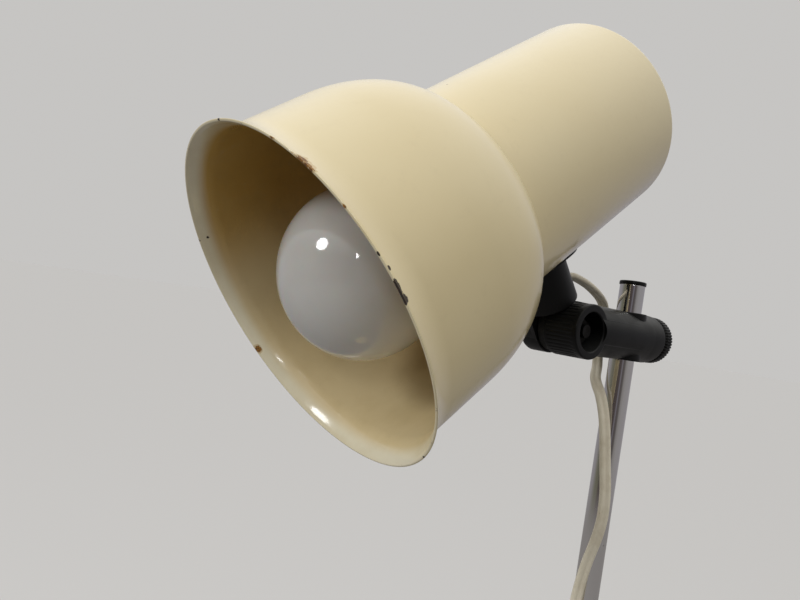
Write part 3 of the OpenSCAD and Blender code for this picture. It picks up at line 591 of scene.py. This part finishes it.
ENAMEL = enamel("cream_enamel", RIM_RUST, RIM_DARK, rim=True)
ENAMEL_INSIDE = enamel("cream_enamel_inside", RIM_RUST, RIM_DARK, rim=True, inside=True)
BASE_ENAMEL = enamel("cream_enamel_base", BASE_RUST, BASE_DARK)
BLACK = black_plastic("black_plastic")
CHROME = chrome("chrome_plate")
STEEL = metal("zinc_plate", (0.52, 0.53, 0.55), (0.28, 0.27, 0.26), 0.34)
BRASS = metal("brass", (0.70, 0.52, 0.22), (0.32, 0.22, 0.09), 0.32)
BLACKED = metal("blacked_steel", (0.022, 0.021, 0.02), (0.012, 0.011, 0.01), 0.5)
IRON = iron("cast_iron")
FELT = felt("felt")
OPAL = opal("opal_glass")
FLEX = flex_plastic("flat_flex")
IVORY = moulded("ivory_plastic", (0.74, 0.70, 0.57), (0.60, 0.54, 0.40))
NYLON = moulded("dark_nylon", (0.03, 0.03, 0.033), (0.05, 0.05, 0.05), (0.45, 0.6))
RUBBER = rubber("rubber")

SLOT_MATERIAL = {"enamel": BASE_ENAMEL, "black_plastic": BLACK, "nylon": NYLON, "rubber": RUBBER,
                 "felt": FELT, "chrome": CHROME, "steel": STEEL, "iron": IRON, "brass": BRASS,
                 "opal_glass": OPAL, "flex": FLEX, "ivory_plastic": IVORY}
for part in frame["record"]["subparts"]:
    node = nodes[part["node"]]
    node.data.materials.clear()
    node.data.materials.append(SLOT_MATERIAL[part["material_slot"]])
    smooth(node, 30)
for name in ("pivot_bolt", "pivot_washer", "pivot_nut"):
    nodes[name].data.materials[0] = BLACKED


def soften(name, width):
    """Rounds the edges of a solid that shows as it is, by a modifier."""
    modifier = nodes[name].modifiers.new("soft_edges", "BEVEL")
    modifier.width = width * MM
    modifier.segments = 3
    modifier.limit_method = "ANGLE"
    modifier.angle_limit = math.radians(45)


# Width of the rounded edges, in millimetres
SOFT_EDGES = {"switch_base": 0.5, "switch_cover": 0.5, "switch_rocker": 0.4, "switch_screws": 0.2,
              "coil_tie": 0.4, "cord_grommet": 0.2, "neck_screws": 0.2, "holder_bracket": 0.25,
              "holder_nut": 0.3, "pivot_bolt": 0.2, "plug_pins": 0.2}
for name, width in SOFT_EDGES.items():
    soften(name, width)


def melt_facets(name, voxel, rounds):
    """Evens out the skin of a moulded solid that shows as it is, by modifiers."""
    skin = nodes[name].modifiers.new("even_skin", "REMESH")
    skin.mode = "VOXEL"
    skin.voxel_size = voxel * MM
    skin.use_smooth_shade = True
    relaxed = nodes[name].modifiers.new("relaxed_skin", "SMOOTH")
    relaxed.factor = 0.5
    relaxed.iterations = rounds


melt_facets("plug_body", voxel=0.6, rounds=7)


def dress(obj, material, body, slot, *replaced):
    """Gives a new piece its material and body, and hides the nodes it stands for."""
    obj.data.materials.clear()
    obj.data.materials.append(material)
    for poly in obj.data.polygons:
        poly.material_index = 0
    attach(obj, body)
    if replaced:
        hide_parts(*replaced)


# Spot


LIP_STEPS = 16
LIP_EDGE_H = 0.25
HALF_WALL = SHADE_WALL / 2


def shade_line(inset):
    """Outline from just behind the lip's edge to the rear, drawn in by an inset."""
    heights = [LIP_H * k / LIP_STEPS for k in range(1, LIP_STEPS + 1)]
    lip = [(lip_radius(z) - inset, z) for z in heights]
    rise = SHOULDER_H - inset
    shoulder = [(REAR_R - inset + (BELL_R - REAR_R) * math.cos(q), BELL_H + rise * math.sin(q))
                for q in angles(90, 3)]
    turn = REAR_EDGE - inset
    rear = [(REAR_R - REAR_EDGE + turn * math.cos(q), SHADE_H - REAR_EDGE + turn * math.sin(q))
            for q in angles(90, 10)]
    return lip + shoulder + rear


# Rounded lip edge between the outer and the inner skin
lip_edge = [(MOUTH_R - HALF_WALL - HALF_WALL * math.cos(q), LIP_EDGE_H - LIP_EDGE_H * math.sin(q))
            for q in angles(180, 30)]
rear_middle = [(0, SHADE_H), (0, SHADE_H - SHADE_WALL)]
shade_path = lip_edge + shade_line(0) + rear_middle + shade_line(SHADE_WALL)[::-1]
shade = revolve("shade_bell", shade_path, SPOT, 192, closed=True)
into_spot = SPOT.inverted()
for vertex in shade.data.vertices:
    p = into_spot @ vertex.co
    vertex.co = on_spot(p.x, p.y, p.z + lip_shift(p.x, p.y, p.z))
smooth(shade, 50)
dress(shade, ENAMEL, "head", "enamel", "shade")
shade.data.materials.append(ENAMEL_INSIDE)
# A face is inside if it leans towards the axis or looks out of the mouth
LEANS_IN = -0.05
LOOKS_OUT = -0.5
for poly in shade.data.polygons:
    off_axis = poly.center - MOUTH
    off_axis -= SPOT_Z * off_axis.dot(SPOT_Z)
    leans_in = poly.normal.dot(off_axis) < LEANS_IN * off_axis.length
    under_rear = off_axis.length < REAR_R * MM and poly.normal.dot(SPOT_Z) < LOOKS_OUT
    poly.material_index = 1 if leans_in or under_rear else 0

# Bulb: globe, waist and throat as one smooth envelope that hangs a little low in its cap
GLOBE_R = 30.5
GLOBE_Z = 29
CAP_EDGE = 77.5
BULB_ASIDE = -0.35
BULB_DEEPER = 0.15
BULB_DROOP = 0.0475
globe = [(GLOBE_R * math.sin(q), GLOBE_Z - GLOBE_R * math.cos(q)) for q in angles(128, 4)]
throat = fillet([globe[-1], (15.6, 62.5, 12), (12.6, 72, 10), (12.3, CAP_EDGE)], 8)
bulb_path = globe + throat[1:] + [(11.5, CAP_EDGE), (11.6, 72), (0, 66)]
DROOP = Matrix.Identity(4)
DROOP[0][3] = BULB_ASIDE
DROOP[1][2] = -BULB_DROOP
DROOP[1][3] = BULB_DROOP * CAP_EDGE
DROOP[2][3] = BULB_DEEPER
bulb = revolve("bulb_envelope", bulb_path, SPOT @ DROOP, 128)
dress(bulb, OPAL, "head", "opal_glass", "bulb_glass")


# Neck and clamp


NECK_TOP = 30
NECK_TOP_R = 11.5
FOOT_R = 18
FOOT_END = 60
BOLT_R = 3.05
NUT_R = 6.17
NUT_DEPTH = 4.4
SEAT_GAP = 0.05


def neck_piece():
    """Neck with its curved foot on the shade and its ear on the tilt axis."""
    stub_line = [(0, NECK_TOP), (NECK_TOP_R, NECK_TOP), (NECK_R, NECK_FLOOR, 0.5), (0, NECK_FLOOR)]
    stub = revolve("neck_moulding", fillet(stub_line), NECK, 96)
    foot = rod("foot", FOOT_R, NECK_TOP, FOOT_END, NECK, 128)
    combine(foot, rod("around", REAR_R + FOOT_T, 60, 165, SPOT, 192), "INTERSECT")
    lower = rod("lower", NECK_R, NECK_FLOOR - 4, NECK_OUT, NECK)
    left = EAR_LEFT + ARM_SIDE
    keep = box("keep", SPOT, (left, NECK_FLOOR - 6, 90), (left + EAR_T, NECK_OUT + 1, 140))
    combine(lower, keep, "INTERSECT")
    ear_line = [(0, EAR_LEFT), (BARREL_R, EAR_LEFT, 1.2), (BARREL_R, DISC_LEFT, 0.4), (0, DISC_LEFT)]
    ear = revolve("ear", fillet(ear_line), PIVOT, 120)
    for other in (foot, lower, ear):
        combine(stub, other, "UNION")
    # Cutters start and end well outside what they cut
    inside = rod("inside", REAR_R + SEAT_GAP, -5, 180, SPOT, 192)
    bolt = rod("bolt", BOLT_R, -30, 0, PIVOT, 48)
    well = rod("well", NUT_R, EAR_LEFT - 1, EAR_LEFT + NUT_DEPTH, PIVOT, 64)
    for other in (inside, bolt, well):
        combine(stub, other, "DIFFERENCE")
    return stub


neck = neck_piece()
bevel(neck, 0.3)
dress(neck, BLACK, "head", "black_plastic", "neck")


BARREL_FLUTES = 40
FLUTE_DEPTH = 0.3
RECESS_R = 8.9
RECESS_DEPTH = 12
RECESS_EDGE = 0.4
STEM_HOLE_R = 7.1
SCREW_HOLE_R = 4.05


def clamp_piece():
    """Cross clamp: smooth arm on the stem, fluted barrel on the tilt axis, open recess."""
    arm_line = [(0, -ARM_REACH), (ARM_R, -ARM_REACH), (ARM_R, 8, 30), (ARM_R + 0.3, ARM_TAIL, 1.0),
                (0, ARM_TAIL)]
    arm = revolve("clamp_moulding", fillet(arm_line), ALONG_ARM, 128)
    rim = fillet([(0, DISC_RIGHT), (BARREL_R, DISC_RIGHT, 0.4), (BARREL_R, DISC_RIGHT + 1.6),
                  (BARREL_R, DISC_RIGHT + 2.1), (BARREL_R, BARREL_FRONT - 3.2),
                  (BARREL_R, BARREL_FRONT - 2.7), (BARREL_R, BARREL_FRONT, 0.8), (0, BARREL_FRONT)])
    low, high = DISC_RIGHT + 2.0, BARREL_FRONT - 3.1
    depths = [FLUTE_DEPTH if low < z < high else 0 for r, z in rim]
    barrel = revolve("barrel", rim, ALONG_BARREL, 320, grooves=BARREL_FLUTES, depths=depths)
    swing = box("swing", ALONG_BARREL, (-ARM_REACH, -SWING_R, -15), (0, SWING_R, DISC_RIGHT))
    combine(arm, swing, "DIFFERENCE")
    combine(arm, rod("sweep", SWING_R, -15, DISC_RIGHT, ALONG_BARREL), "DIFFERENCE")
    combine(arm, barrel, "UNION")
    low, high = ARM_Z - ARM_R + 0.2, ARM_Z + ARM_R - 0.2
    boss_line = [(0, low), (BOSS_R, low, 0.4), (BOSS_R, high, 0.4), (0, high)]
    combine(arm, revolve("boss", fillet(boss_line), UPRIGHT, 96), "UNION")
    combine(arm, rod("hole", STEM_HOLE_R, ARM_Z - 20, ARM_Z + 20, UPRIGHT), "DIFFERENCE")
    bottom, mouth = BARREL_FRONT - RECESS_DEPTH, RECESS_R + RECESS_EDGE
    recess_line = [(0, bottom), (RECESS_R, bottom, 0.5), (RECESS_R, BARREL_FRONT - RECESS_EDGE),
                   (mouth, BARREL_FRONT), (mouth, ARM_R + 1), (0, ARM_R + 1)]
    combine(arm, revolve("recess", fillet(recess_line), ALONG_BARREL, 96), "DIFFERENCE")
    combine(arm, rod("bolt", BOLT_R, -12, 2, ALONG_BARREL, 48), "DIFFERENCE")
    combine(arm, rod("thread", SCREW_HOLE_R, 5, 20, ALONG_ARM, 48), "DIFFERENCE")
    return arm


clamp = clamp_piece()
dress(clamp, BLACK, "clamp", "black_plastic", "clamp_body")

KNOB_GAP = 2.1
KNOB_L = 7.4
KNOB_GROOVES = 48
GROOVE_DEPTH = 0.45
GROOVED_R = ARM_R - 1.4
KNOB_START = ARM_TAIL + KNOB_GAP
KNOB_END = KNOB_START + KNOB_L
knob_line = fillet([(SCREW_HOLE_R, KNOB_START), (ARM_R - 0.9, KNOB_START, 0.2),
                    (ARM_R, KNOB_START + 0.9, 0.3), (ARM_R, KNOB_END - 2.2, 1.0),
                    (ARM_R - 1.7, KNOB_END - 0.2, 0.8), (8, KNOB_END, 0.5),
                    (7.4, KNOB_END - 0.5, 0.3), (0, KNOB_END - 0.7)])
knob_depths = [GROOVE_DEPTH if r > GROOVED_R else 0 for r, z in knob_line]
knob = revolve("knurled_knob", knob_line, ALONG_ARM, 384, grooves=KNOB_GROOVES, depths=knob_depths)
smooth(knob, 50)
dress(knob, BLACK, "knob", "black_plastic", "clamp_knob")

# Stand

STEM_BORE_R = 4.8
STEM_ROWS = 24
stem_line = fillet([(STEM_BORE_R, BASE_H), (STEM_R, BASE_H), (STEM_R, STEM_TOP, 0.25),
                    (STEM_BORE_R, STEM_TOP)])
row_h = (STEM_TOP - BASE_H - 1) / STEM_ROWS
stem_rows = [(STEM_R, BASE_H + k * row_h) for k in range(STEM_ROWS + 1)]
stem = revolve("stem_tube", stem_line[:1] + stem_rows + stem_line[2:], UPRIGHT, 96, closed=True)
dress(stem, CHROME, "stand", "chrome", "stem")

CAP_PLUG_R = 4.75
CAP_PLUG_L = 10
CAP_R = STEM_R + 0.4
CAP_TOP = STEM_TOP + 1.9
cap_line = [(0, STEM_TOP - CAP_PLUG_L), (CAP_PLUG_R, STEM_TOP - CAP_PLUG_L), (CAP_PLUG_R, STEM_TOP),
            (CAP_R, STEM_TOP, 0.15), (CAP_R, CAP_TOP, 0.6), (0, CAP_TOP)]
cap = revolve("stem_cap_moulding", fillet(cap_line), UPRIGHT, 96)
dress(cap, BLACK, "stand", "black_plastic", "stem_cap")

COLLAR_BORE_R = STEM_R + 0.05
COLLAR_R = 13
COLLAR_TOP = BASE_H + 14
collar_line = [(COLLAR_BORE_R, BASE_H), (COLLAR_R, BASE_H, 0.3), (COLLAR_R, BASE_H + 2.6, 1.0),
               (8.8, BASE_H + 8, 5), (7.6, COLLAR_TOP, 0.6), (COLLAR_BORE_R, COLLAR_TOP)]
collar = revolve("stem_collar_moulding", fillet(collar_line), UPRIGHT, 96, closed=True)
dress(collar, BLACK, "stand", "black_plastic", "stem_collar")

COVER_T = 1.2
COVER_HOLE_R = 5.2
COVER_FLOOR = 1.5
COVER_ROW = 12
COVER_UNDER = BASE_H - COVER_T
COVER_IN = BASE_R - COVER_T
cover_line = fillet([(COVER_HOLE_R, COVER_UNDER), (COVER_HOLE_R, BASE_H, 0.3), (BASE_R, BASE_H, 8),
                     (BASE_R, COVER_FLOOR, 0.5), (COVER_IN, COVER_FLOOR, 0.5),
                     (COVER_IN, COVER_UNDER, 6.8), (COVER_HOLE_R, COVER_UNDER)], 10)[:-1]
cover_rows = []
for a, b in zip(cover_line, cover_line[1:] + cover_line[:1]):
    steps = max(1, int((Vector(b) - Vector(a)).length / COVER_ROW))
    cover_rows += [tuple(Vector(a).lerp(Vector(b), k / steps)) for k in range(steps)]
cover = revolve("base_cover_pressing", cover_rows, UPRIGHT, 192, closed=True)
dress(cover, BASE_ENAMEL, "stand", "enamel", "base_cover")

# Cord

CORD_W = 5.4
CORD_T = 2.8
LOBE = CORD_T / 2
LOBE_AT = CORD_W / 2 - LOBE
SECTION = [(LOBE_AT + LOBE * math.cos(q), LOBE * math.sin(q)) for q in angles(140, 40, -140)]
SECTION += [(-x, -y) for x, y in SECTION]


def curve(points, steps):
    """Smooth curve through the points, as in the part's source."""
    pts = [Vector(p) for p in points]
    count = len(pts)
    out = []
    for i in range(count - 1):
        a, b = pts[max(i - 1, 0)], pts[i]
        c, d = pts[i + 1], pts[min(i + 2, count - 1)]
        for s in range(steps):
            t = s / steps
            out.append(0.5 * (2 * b + (c - a) * t + (2 * a - 5 * b + 4 * c - d) * t * t
                              + (3 * b - a - 3 * c + d) * t ** 3))
    return out + [pts[-1]]


def heading(path, i):
    """Direction of a path at one of its points."""
    return (path[min(i + 1, len(path) - 1)] - path[max(i - 1, 0)]).normalized()


def sweep(name, path, wides):
    """Twin flex along a path, its wide side along the given directions."""
    bm = bmesh.new()
    rings = []
    for i, p in enumerate(path):
        along = heading(path, i)
        wide = (wides[i] - along * wides[i].dot(along)).normalized()
        thin = along.cross(wide)
        rings.append([bm.verts.new((p + wide * x + thin * y) * MM) for x, y in SECTION])
    count = len(SECTION)
    for a, b in zip(rings, rings[1:]):
        for k in range(count):
            n = (k + 1) % count
            bm.faces.new((a[k], a[n], b[n], b[k]))
    bm.faces.new(rings[0][::-1])
    bm.faces.new(rings[-1])
    obj = new_object(name, bm)
    smooth(obj, 60)
    return obj


def stretched_wides(wides, steps):
    """One wide side for each point of the smooth curve, turned evenly between the given ones."""
    out = []
    for a, b in zip(wides, wides[1:]):
        out += [Vector(a).lerp(Vector(b), s / steps) for s in range(steps)]
    return out + [Vector(wides[-1])]


def lying(points):
    """Wide sides of a cord that lies flat."""
    pts = [Vector(p) for p in points]
    return [Z.cross(heading(pts, i)) for i in range(len(pts))]


def route(points, wides, steps):
    """Smooth path through the points, and its wide sides."""
    return curve(points, steps), stretched_wides(wides, steps)


def lay_cord(name, path, wides, replaced, far_end, lay, **more):
    """One stretch of the cord: mesh and material; hides the node it stands for, if any."""
    obj = sweep(name, path, wides)
    obj.data.materials.append(FLEX)
    if replaced:
        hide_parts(replaced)
    return obj


LOOP = [(-8.5, -51.1, 1143.4), (-8.5, -46.4, 1147.1), (-8.5, -42.7, 1148.8), (-8.7, -38.6, 1149.2),
        (-9.4, -31.6, 1148.5), (-10.8, -22.4, 1147.2), (-12.6, -12.5, 1145), (-14.6, -3.4, 1142.2),
        (-15.8, 2, 1138.8), (-16, 4.2, 1132)]
LOOP_WIDE = Vector((1, 0.06, 0.14))
DROP = [(-16, 4.5, 1124), (-15.8, 3.3, 1116), (-13, 0, 1108), (-9, -6, 1101.5), (-1.8, -10.6, 1094),
        (2.2, -12.2, 1086), (4.6, -12.6, 1077), (7, -12.5, 1063), (9.2, -12.5, 1050),
        (9.7, -12.5, 1038), (8.2, -12.6, 1027), (5, -12.7, 1013), (2.5, -12.6, 995), (1, -13, 960),
        (1, -13, 900), (1.5, -13.5, 800), (2, -14, 650), (2.5, -14.5, 500), (3, -15, 350),
        (3.5, -15.5, 220), (5, -17.5, 140), (7.5, -22, 90), (12, -30, 56), (18.5, -41, 33),
        (26, -54, 23)]
FLOOR = [(26, -54, 23), (34, -67.5, 22), (41.5, -80, 22), (48, -91, 22.2), (53.5, -100.5, 21.4),
         (58, -108, 17.6), (62, -115, 12.2), (66, -122, 6.8), (70, -129, 3.2), (74, -136, 1.9),
         (79, -146, 1.6), (82, -156, 1.6), (80.5, -166.5, 1.6), (75, -175.5, 1.9), (66, -181, 3.2),
         (56, -183, 5.4), (47, -183, 7.1), (42, -183, 7.1)]
# Points of the hanging cord between which its wide side turns, and its direction on the stem
TURN_START, TURN_END, TURN_BACK = 3, 6, 20
ON_STEM = (0.62, 0.78)


def drop_wide(i):
    """Wide side of the hanging cord: it turns from across the clamp to face along the stem."""
    if i < TURN_START:
        return X
    if i < TURN_END:
        k = i - TURN_START + 1
        return Vector((1 - 0.13 * k, 0.26 * k, 0))
    k = max(0, i - TURN_BACK)
    return Vector((ON_STEM[0] + 0.06 * k, ON_STEM[1] - 0.07 * k, 0))


DROP_WIDES = [drop_wide(i) for i in range(len(DROP))]
# One path from the neck to the switch, so that its stretches meet without a step
STEPS = 6
POINTS = LOOP + DROP[:-1] + FLOOR
SIDES = [LOOP_WIDE] * len(LOOP) + DROP_WIDES[:-1] + lying(FLOOR)
PATH, WIDES = route(POINTS, SIDES, STEPS)
# The hanging cord is two pieces, which meet at this point of DROP
SPLIT = 12
LOOP_END = len(LOOP) * STEPS
UPPER_END = LOOP_END + SPLIT * STEPS
LOWER_END = LOOP_END + (len(DROP) - 1) * STEPS
FLOOR_END = len(PATH) - 1


def stretch(start, end):
    """Part of the path with its wide sides."""
    return PATH[start:end + 1], WIDES[start:end + 1]


loop = lay_cord("cord_over_clamp", *stretch(0, LOOP_END), "cord_loop", "object", "loose")
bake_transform(loop)
upper = lay_cord("cord_by_clamp", *stretch(LOOP_END, UPPER_END), "cord_drop", "object", "hanging")
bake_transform(upper)
lower = lay_cord("cord_on_stem", *stretch(UPPER_END, LOWER_END), None, "object", "hanging")
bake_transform(lower)
ground = lay_cord("cord_on_floor", *stretch(LOWER_END, FLOOR_END), "cord_floor", "object", "loose")
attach(ground, "stand")

COIL_X, COIL_Y, COIL_R = -70, -147, 36
COIL_PITCH = 4.8
COIL_TURNS = 5.75
LAYER_1 = 1 + CORD_W / 2
LAYER_2 = LAYER_1 + CORD_W + 1
COIL_IN = (COIL_X + CORD_W, COIL_Y - COIL_R, LAYER_1)
TAIL_START = (COIL_X + COIL_R, COIL_Y - CORD_W, LAYER_2)
LEAD = [(-12, -183, 7.1), (-17, -183, 7.1), (-24, -183, 5.2), (-32, -183, 2.9), (-42, -183, 2.3),
        (-54, -183, 3.1), COIL_IN]
LEAD_WIDES = [Y, Y, Y, Y, Y, Vector((0, 0.7, 0.7)), Z]
TAIL = [TAIL_START, (-34, -162, 10), (-33.6, -171, 9.6), (-32, -181, 8.8), (-27.5, -191, 7.9),
        (-20, -200.5, 7.2), (-10, -207.5, 6.9), (0, -211, 6.9), (8, -212, 6.9), (14, -212, 6.9)]


def coil_point(q):
    """Point of the coil after q degrees: in on the lower layer, out on the upper one."""
    end = COIL_TURNS * 360
    t = min(1, max(0, (q - end / 2 + 90) / 180))
    climb = t * t * (3 - 2 * t)
    r = COIL_R - COIL_PITCH * min(q, end - q) / 360
    a = math.radians(-90 - q)
    z = LAYER_1 + (LAYER_2 - LAYER_1) * climb
    return (COIL_X + r * math.cos(a), COIL_Y + r * math.sin(a), z)


COIL_STEP = 15
coil_steps = int(COIL_TURNS * 360 / COIL_STEP)
COIL = [COIL_IN] + [coil_point(k * COIL_STEP) for k in range(coil_steps + 1)] + [TAIL_START]
lead = lay_cord("cord_to_coil", *route(LEAD, LEAD_WIDES, 4), "cord_lead", "object", "loose")
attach(lead, "stand")
coil = lay_cord("cord_coiled", *route(COIL, [Z] * len(COIL), 3), "cord_coil", "object", "coiled")
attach(coil, "stand")
tail = lay_cord("cord_to_plug", *route(TAIL, [Z] * len(TAIL), 4), "cord_tail", "plug", "loose",
                with_pieces=[nodes["plug_body"], nodes["plug_pins"]])
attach(tail, "stand")

# Lead from the neck over the bracket to the lampholder, in the spot's frame
INNER = [(59.5, 115), (54.5, 113.5), (47.3, 113), (39.3, 113.5), (36.75, 118), (32.75, 123.5),
         (32.75, 130), (27.75, 140), (18.75, 145), (8, 144), (1.5, 139), (0, 133), (0, 122.5)]
INNER_ROUTE = route([on_spot(0, y, z) / MM for y, z in INNER], [X] * len(INNER), 4)
inner = lay_cord("cord_in_shade", *INNER_ROUTE, "inner_lead", "object", "loose")
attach(inner, "head")

# Ribs of the plug's bend relief
PLUG_X, PLUG_Y, PLUG_Z = 34, -212, 6.9
RELIEF_L = 20
RELIEF_ROOT = 4
RELIEF_R = 3.7
RELIEF_GROWS = 1.7
RIB_IN_R = 3.2
RIB_SINK, RIB_OUT = 0.2, 0.5
RIB_FOOT, RIB_TOP = 1, 0.6
rib_line = []
for x in range(-17, 0, 3):
    cone = RELIEF_R + RELIEF_GROWS * (x + RELIEF_L) / (RELIEF_L + RELIEF_ROOT)
    rib_line += [(cone - RIB_SINK, x - RIB_FOOT), (cone + RIB_OUT, x - RIB_TOP),
                 (cone + RIB_OUT, x + RIB_TOP), (cone - RIB_SINK, x + RIB_FOOT)]
rib_line += [(RIB_IN_R, rib_line[-1][1]), (RIB_IN_R, rib_line[0][1])]
along_plug = axes_matrix(Vector((PLUG_X, PLUG_Y, PLUG_Z)) * MM, Y, Z, X)
ribs = revolve("plug_relief_ribs", rib_line, along_plug, 64, closed=True)
dress(ribs, IVORY, "stand", "ivory_plastic")

# Stage, lights and camera

BACKDROP = (0.565, 0.556, 0.543)
FLOOR_SEEN = (0.592, 0.588, 0.585)
FLOOR_LIT = (0.16, 0.155, 0.15)
FLOOR_MIRRORED = (0.28, 0.27, 0.27)
SKY = (1.0, 0.985, 0.96)
# Colours of a room round the lamp, by compass direction as a share of the turn, for what mirrors it
ROOM_AHEAD = (0.505, -0.863, 0)
ROOM_ASIDE = (0.863, 0.505, 0)
ROOM = [(0, (0.34, 0.33, 0.36)), (0.206, (0.30, 0.29, 0.31)), (0.294, (0.17, 0.168, 0.13)),
        (0.369, (0.13, 0.125, 0.09)), (0.403, (0.075, 0.060, 0.055)), (0.52, (0.065, 0.050, 0.050)),
        (0.548, (0.19, 0.18, 0.21)), (0.575, (0.085, 0.072, 0.072)), (0.61, (0.11, 0.10, 0.10)),
        (0.644, (0.26, 0.25, 0.25)), (0.708, (0.32, 0.31, 0.32)), (1, (0.34, 0.33, 0.36))]


def room_bands(n):
    """Upright bands of light and dark by compass direction."""
    ahead = n.vector("DOT_PRODUCT", n.coords, ROOM_AHEAD)
    aside = n.vector("DOT_PRODUCT", n.coords, ROOM_ASIDE)
    turn = n.math("MULTIPLY_ADD", n.math("ARCTAN2", aside, ahead), 0.5 / math.pi, 0.5)
    made = n.node("ShaderNodeValToRGB", Fac=turn)
    stops = made.color_ramp.elements
    stops[0].color = (*ROOM[0][1], 1)
    stops[1].color = (*ROOM[-1][1], 1)
    for place, color in ROOM[1:-1]:
        stops.new(place).color = (*color, 1)
    return made.outputs["Color"]


def stage_floor():
    """Wide pale floor; other pieces see it darker than the camera does."""
    bpy.ops.mesh.primitive_plane_add(size=120, location=(0, 0, -0.0005))
    plane = bpy.context.object
    plane.name = "stage_floor"
    s = Shader("stage_floor", Roughness=0.9, Specular_IOR_Level=0.05)
    seen = s.node("ShaderNodeLightPath").outputs["Is Camera Ray"]
    mirrored = s.node("ShaderNodeLightPath").outputs["Is Glossy Ray"]
    far = s.ramp(s.vector("LENGTH", s.coords), 3.2, 4.8)
    in_chrome = s.mix(far, FLOOR_MIRRORED, room_bands(s))
    color = s.mix(mirrored, FLOOR_LIT, in_chrome)
    s.link(s.mix(seen, color, FLOOR_SEEN), "Base Color")
    plane.data.materials.append(s.material)


def studio_world():
    """Even and pale to the camera; its light is bright above, milder at the sides, dim below."""
    world = bpy.data.worlds.new("studio")
    bpy.context.scene.world = world
    world.use_nodes = True
    w = Nodes(world.node_tree, "Generated")
    up = w.node("ShaderNodeSeparateXYZ", Vector=w.coords).outputs["Z"]
    light = w.math("MULTIPLY", w.ramp(up, 0.05, 1.0, 0.42, 1.2), w.ramp(up, -0.4, 0.1, 0.2, 1.0))
    path = w.node("ShaderNodeLightPath")
    banded = w.math("MULTIPLY", path.outputs["Is Glossy Ray"], w.ramp(up, 0.5, 0.15))
    level = w.math("MULTIPLY_ADD", banded, w.math("SUBTRACT", 1.0, light), light)
    seen = w.math("MAXIMUM", path.outputs["Is Camera Ray"], path.outputs["Is Transmission Ray"])
    background = w.tree.nodes["Background"]
    color = w.mix(banded, SKY, room_bands(w))
    w.feed(background.inputs["Color"], w.mix(seen, color, BACKDROP))
    w.feed(background.inputs["Strength"], w.math("MAXIMUM", level, seen))


stage_floor()
studio_world()


BULB_AT = Vector((-0.0085, -0.158, 1.133))
DAYLIGHT = (0.97, 0.985, 1)


def window(name, place, size, power):
    """Oval lamp in the colour of daylight, aimed at the bulb."""
    data = bpy.data.lights.new(name, "AREA")
    data.shape = "ELLIPSE"
    data.size, data.size_y = size
    data.energy = power
    data.color = DAYLIGHT
    obj = bpy.data.objects.new(name, data)
    bpy.context.scene.collection.objects.link(obj)
    obj.location = place
    obj.rotation_euler = (BULB_AT - Vector(place)).to_track_quat("-Z", "Y").to_euler()


window("window", (-0.39, -2.59, 2.02), (0.70, 0.56), 16)
window("second_window", (1.68, -2.05, 1.86), (0.14, 0.36), 3)

CAMERA_AT = Vector((0.16265, -0.27808, 1.12193))
CAMERA_RIGHT = Vector((0.6217, 0.768, 0.1541))
CAMERA_DOWN = Vector((0.087, 0.1278, -0.988))
camera_data = bpy.data.cameras.new("photo_camera")
camera_data.sensor_width = 36
camera_data.lens = 27
camera_data.clip_start = 0.01
camera = bpy.data.objects.new("photo_camera", camera_data)
bpy.context.scene.collection.objects.link(camera)
back = CAMERA_RIGHT.cross(-CAMERA_DOWN)
rotation = Matrix((CAMERA_RIGHT, -CAMERA_DOWN, back)).transposed()
camera.matrix_world = Matrix.Translation(CAMERA_AT) @ rotation.to_4x4()
bpy.context.scene.camera = camera
bpy.context.scene.view_settings.view_transform = "Standard"
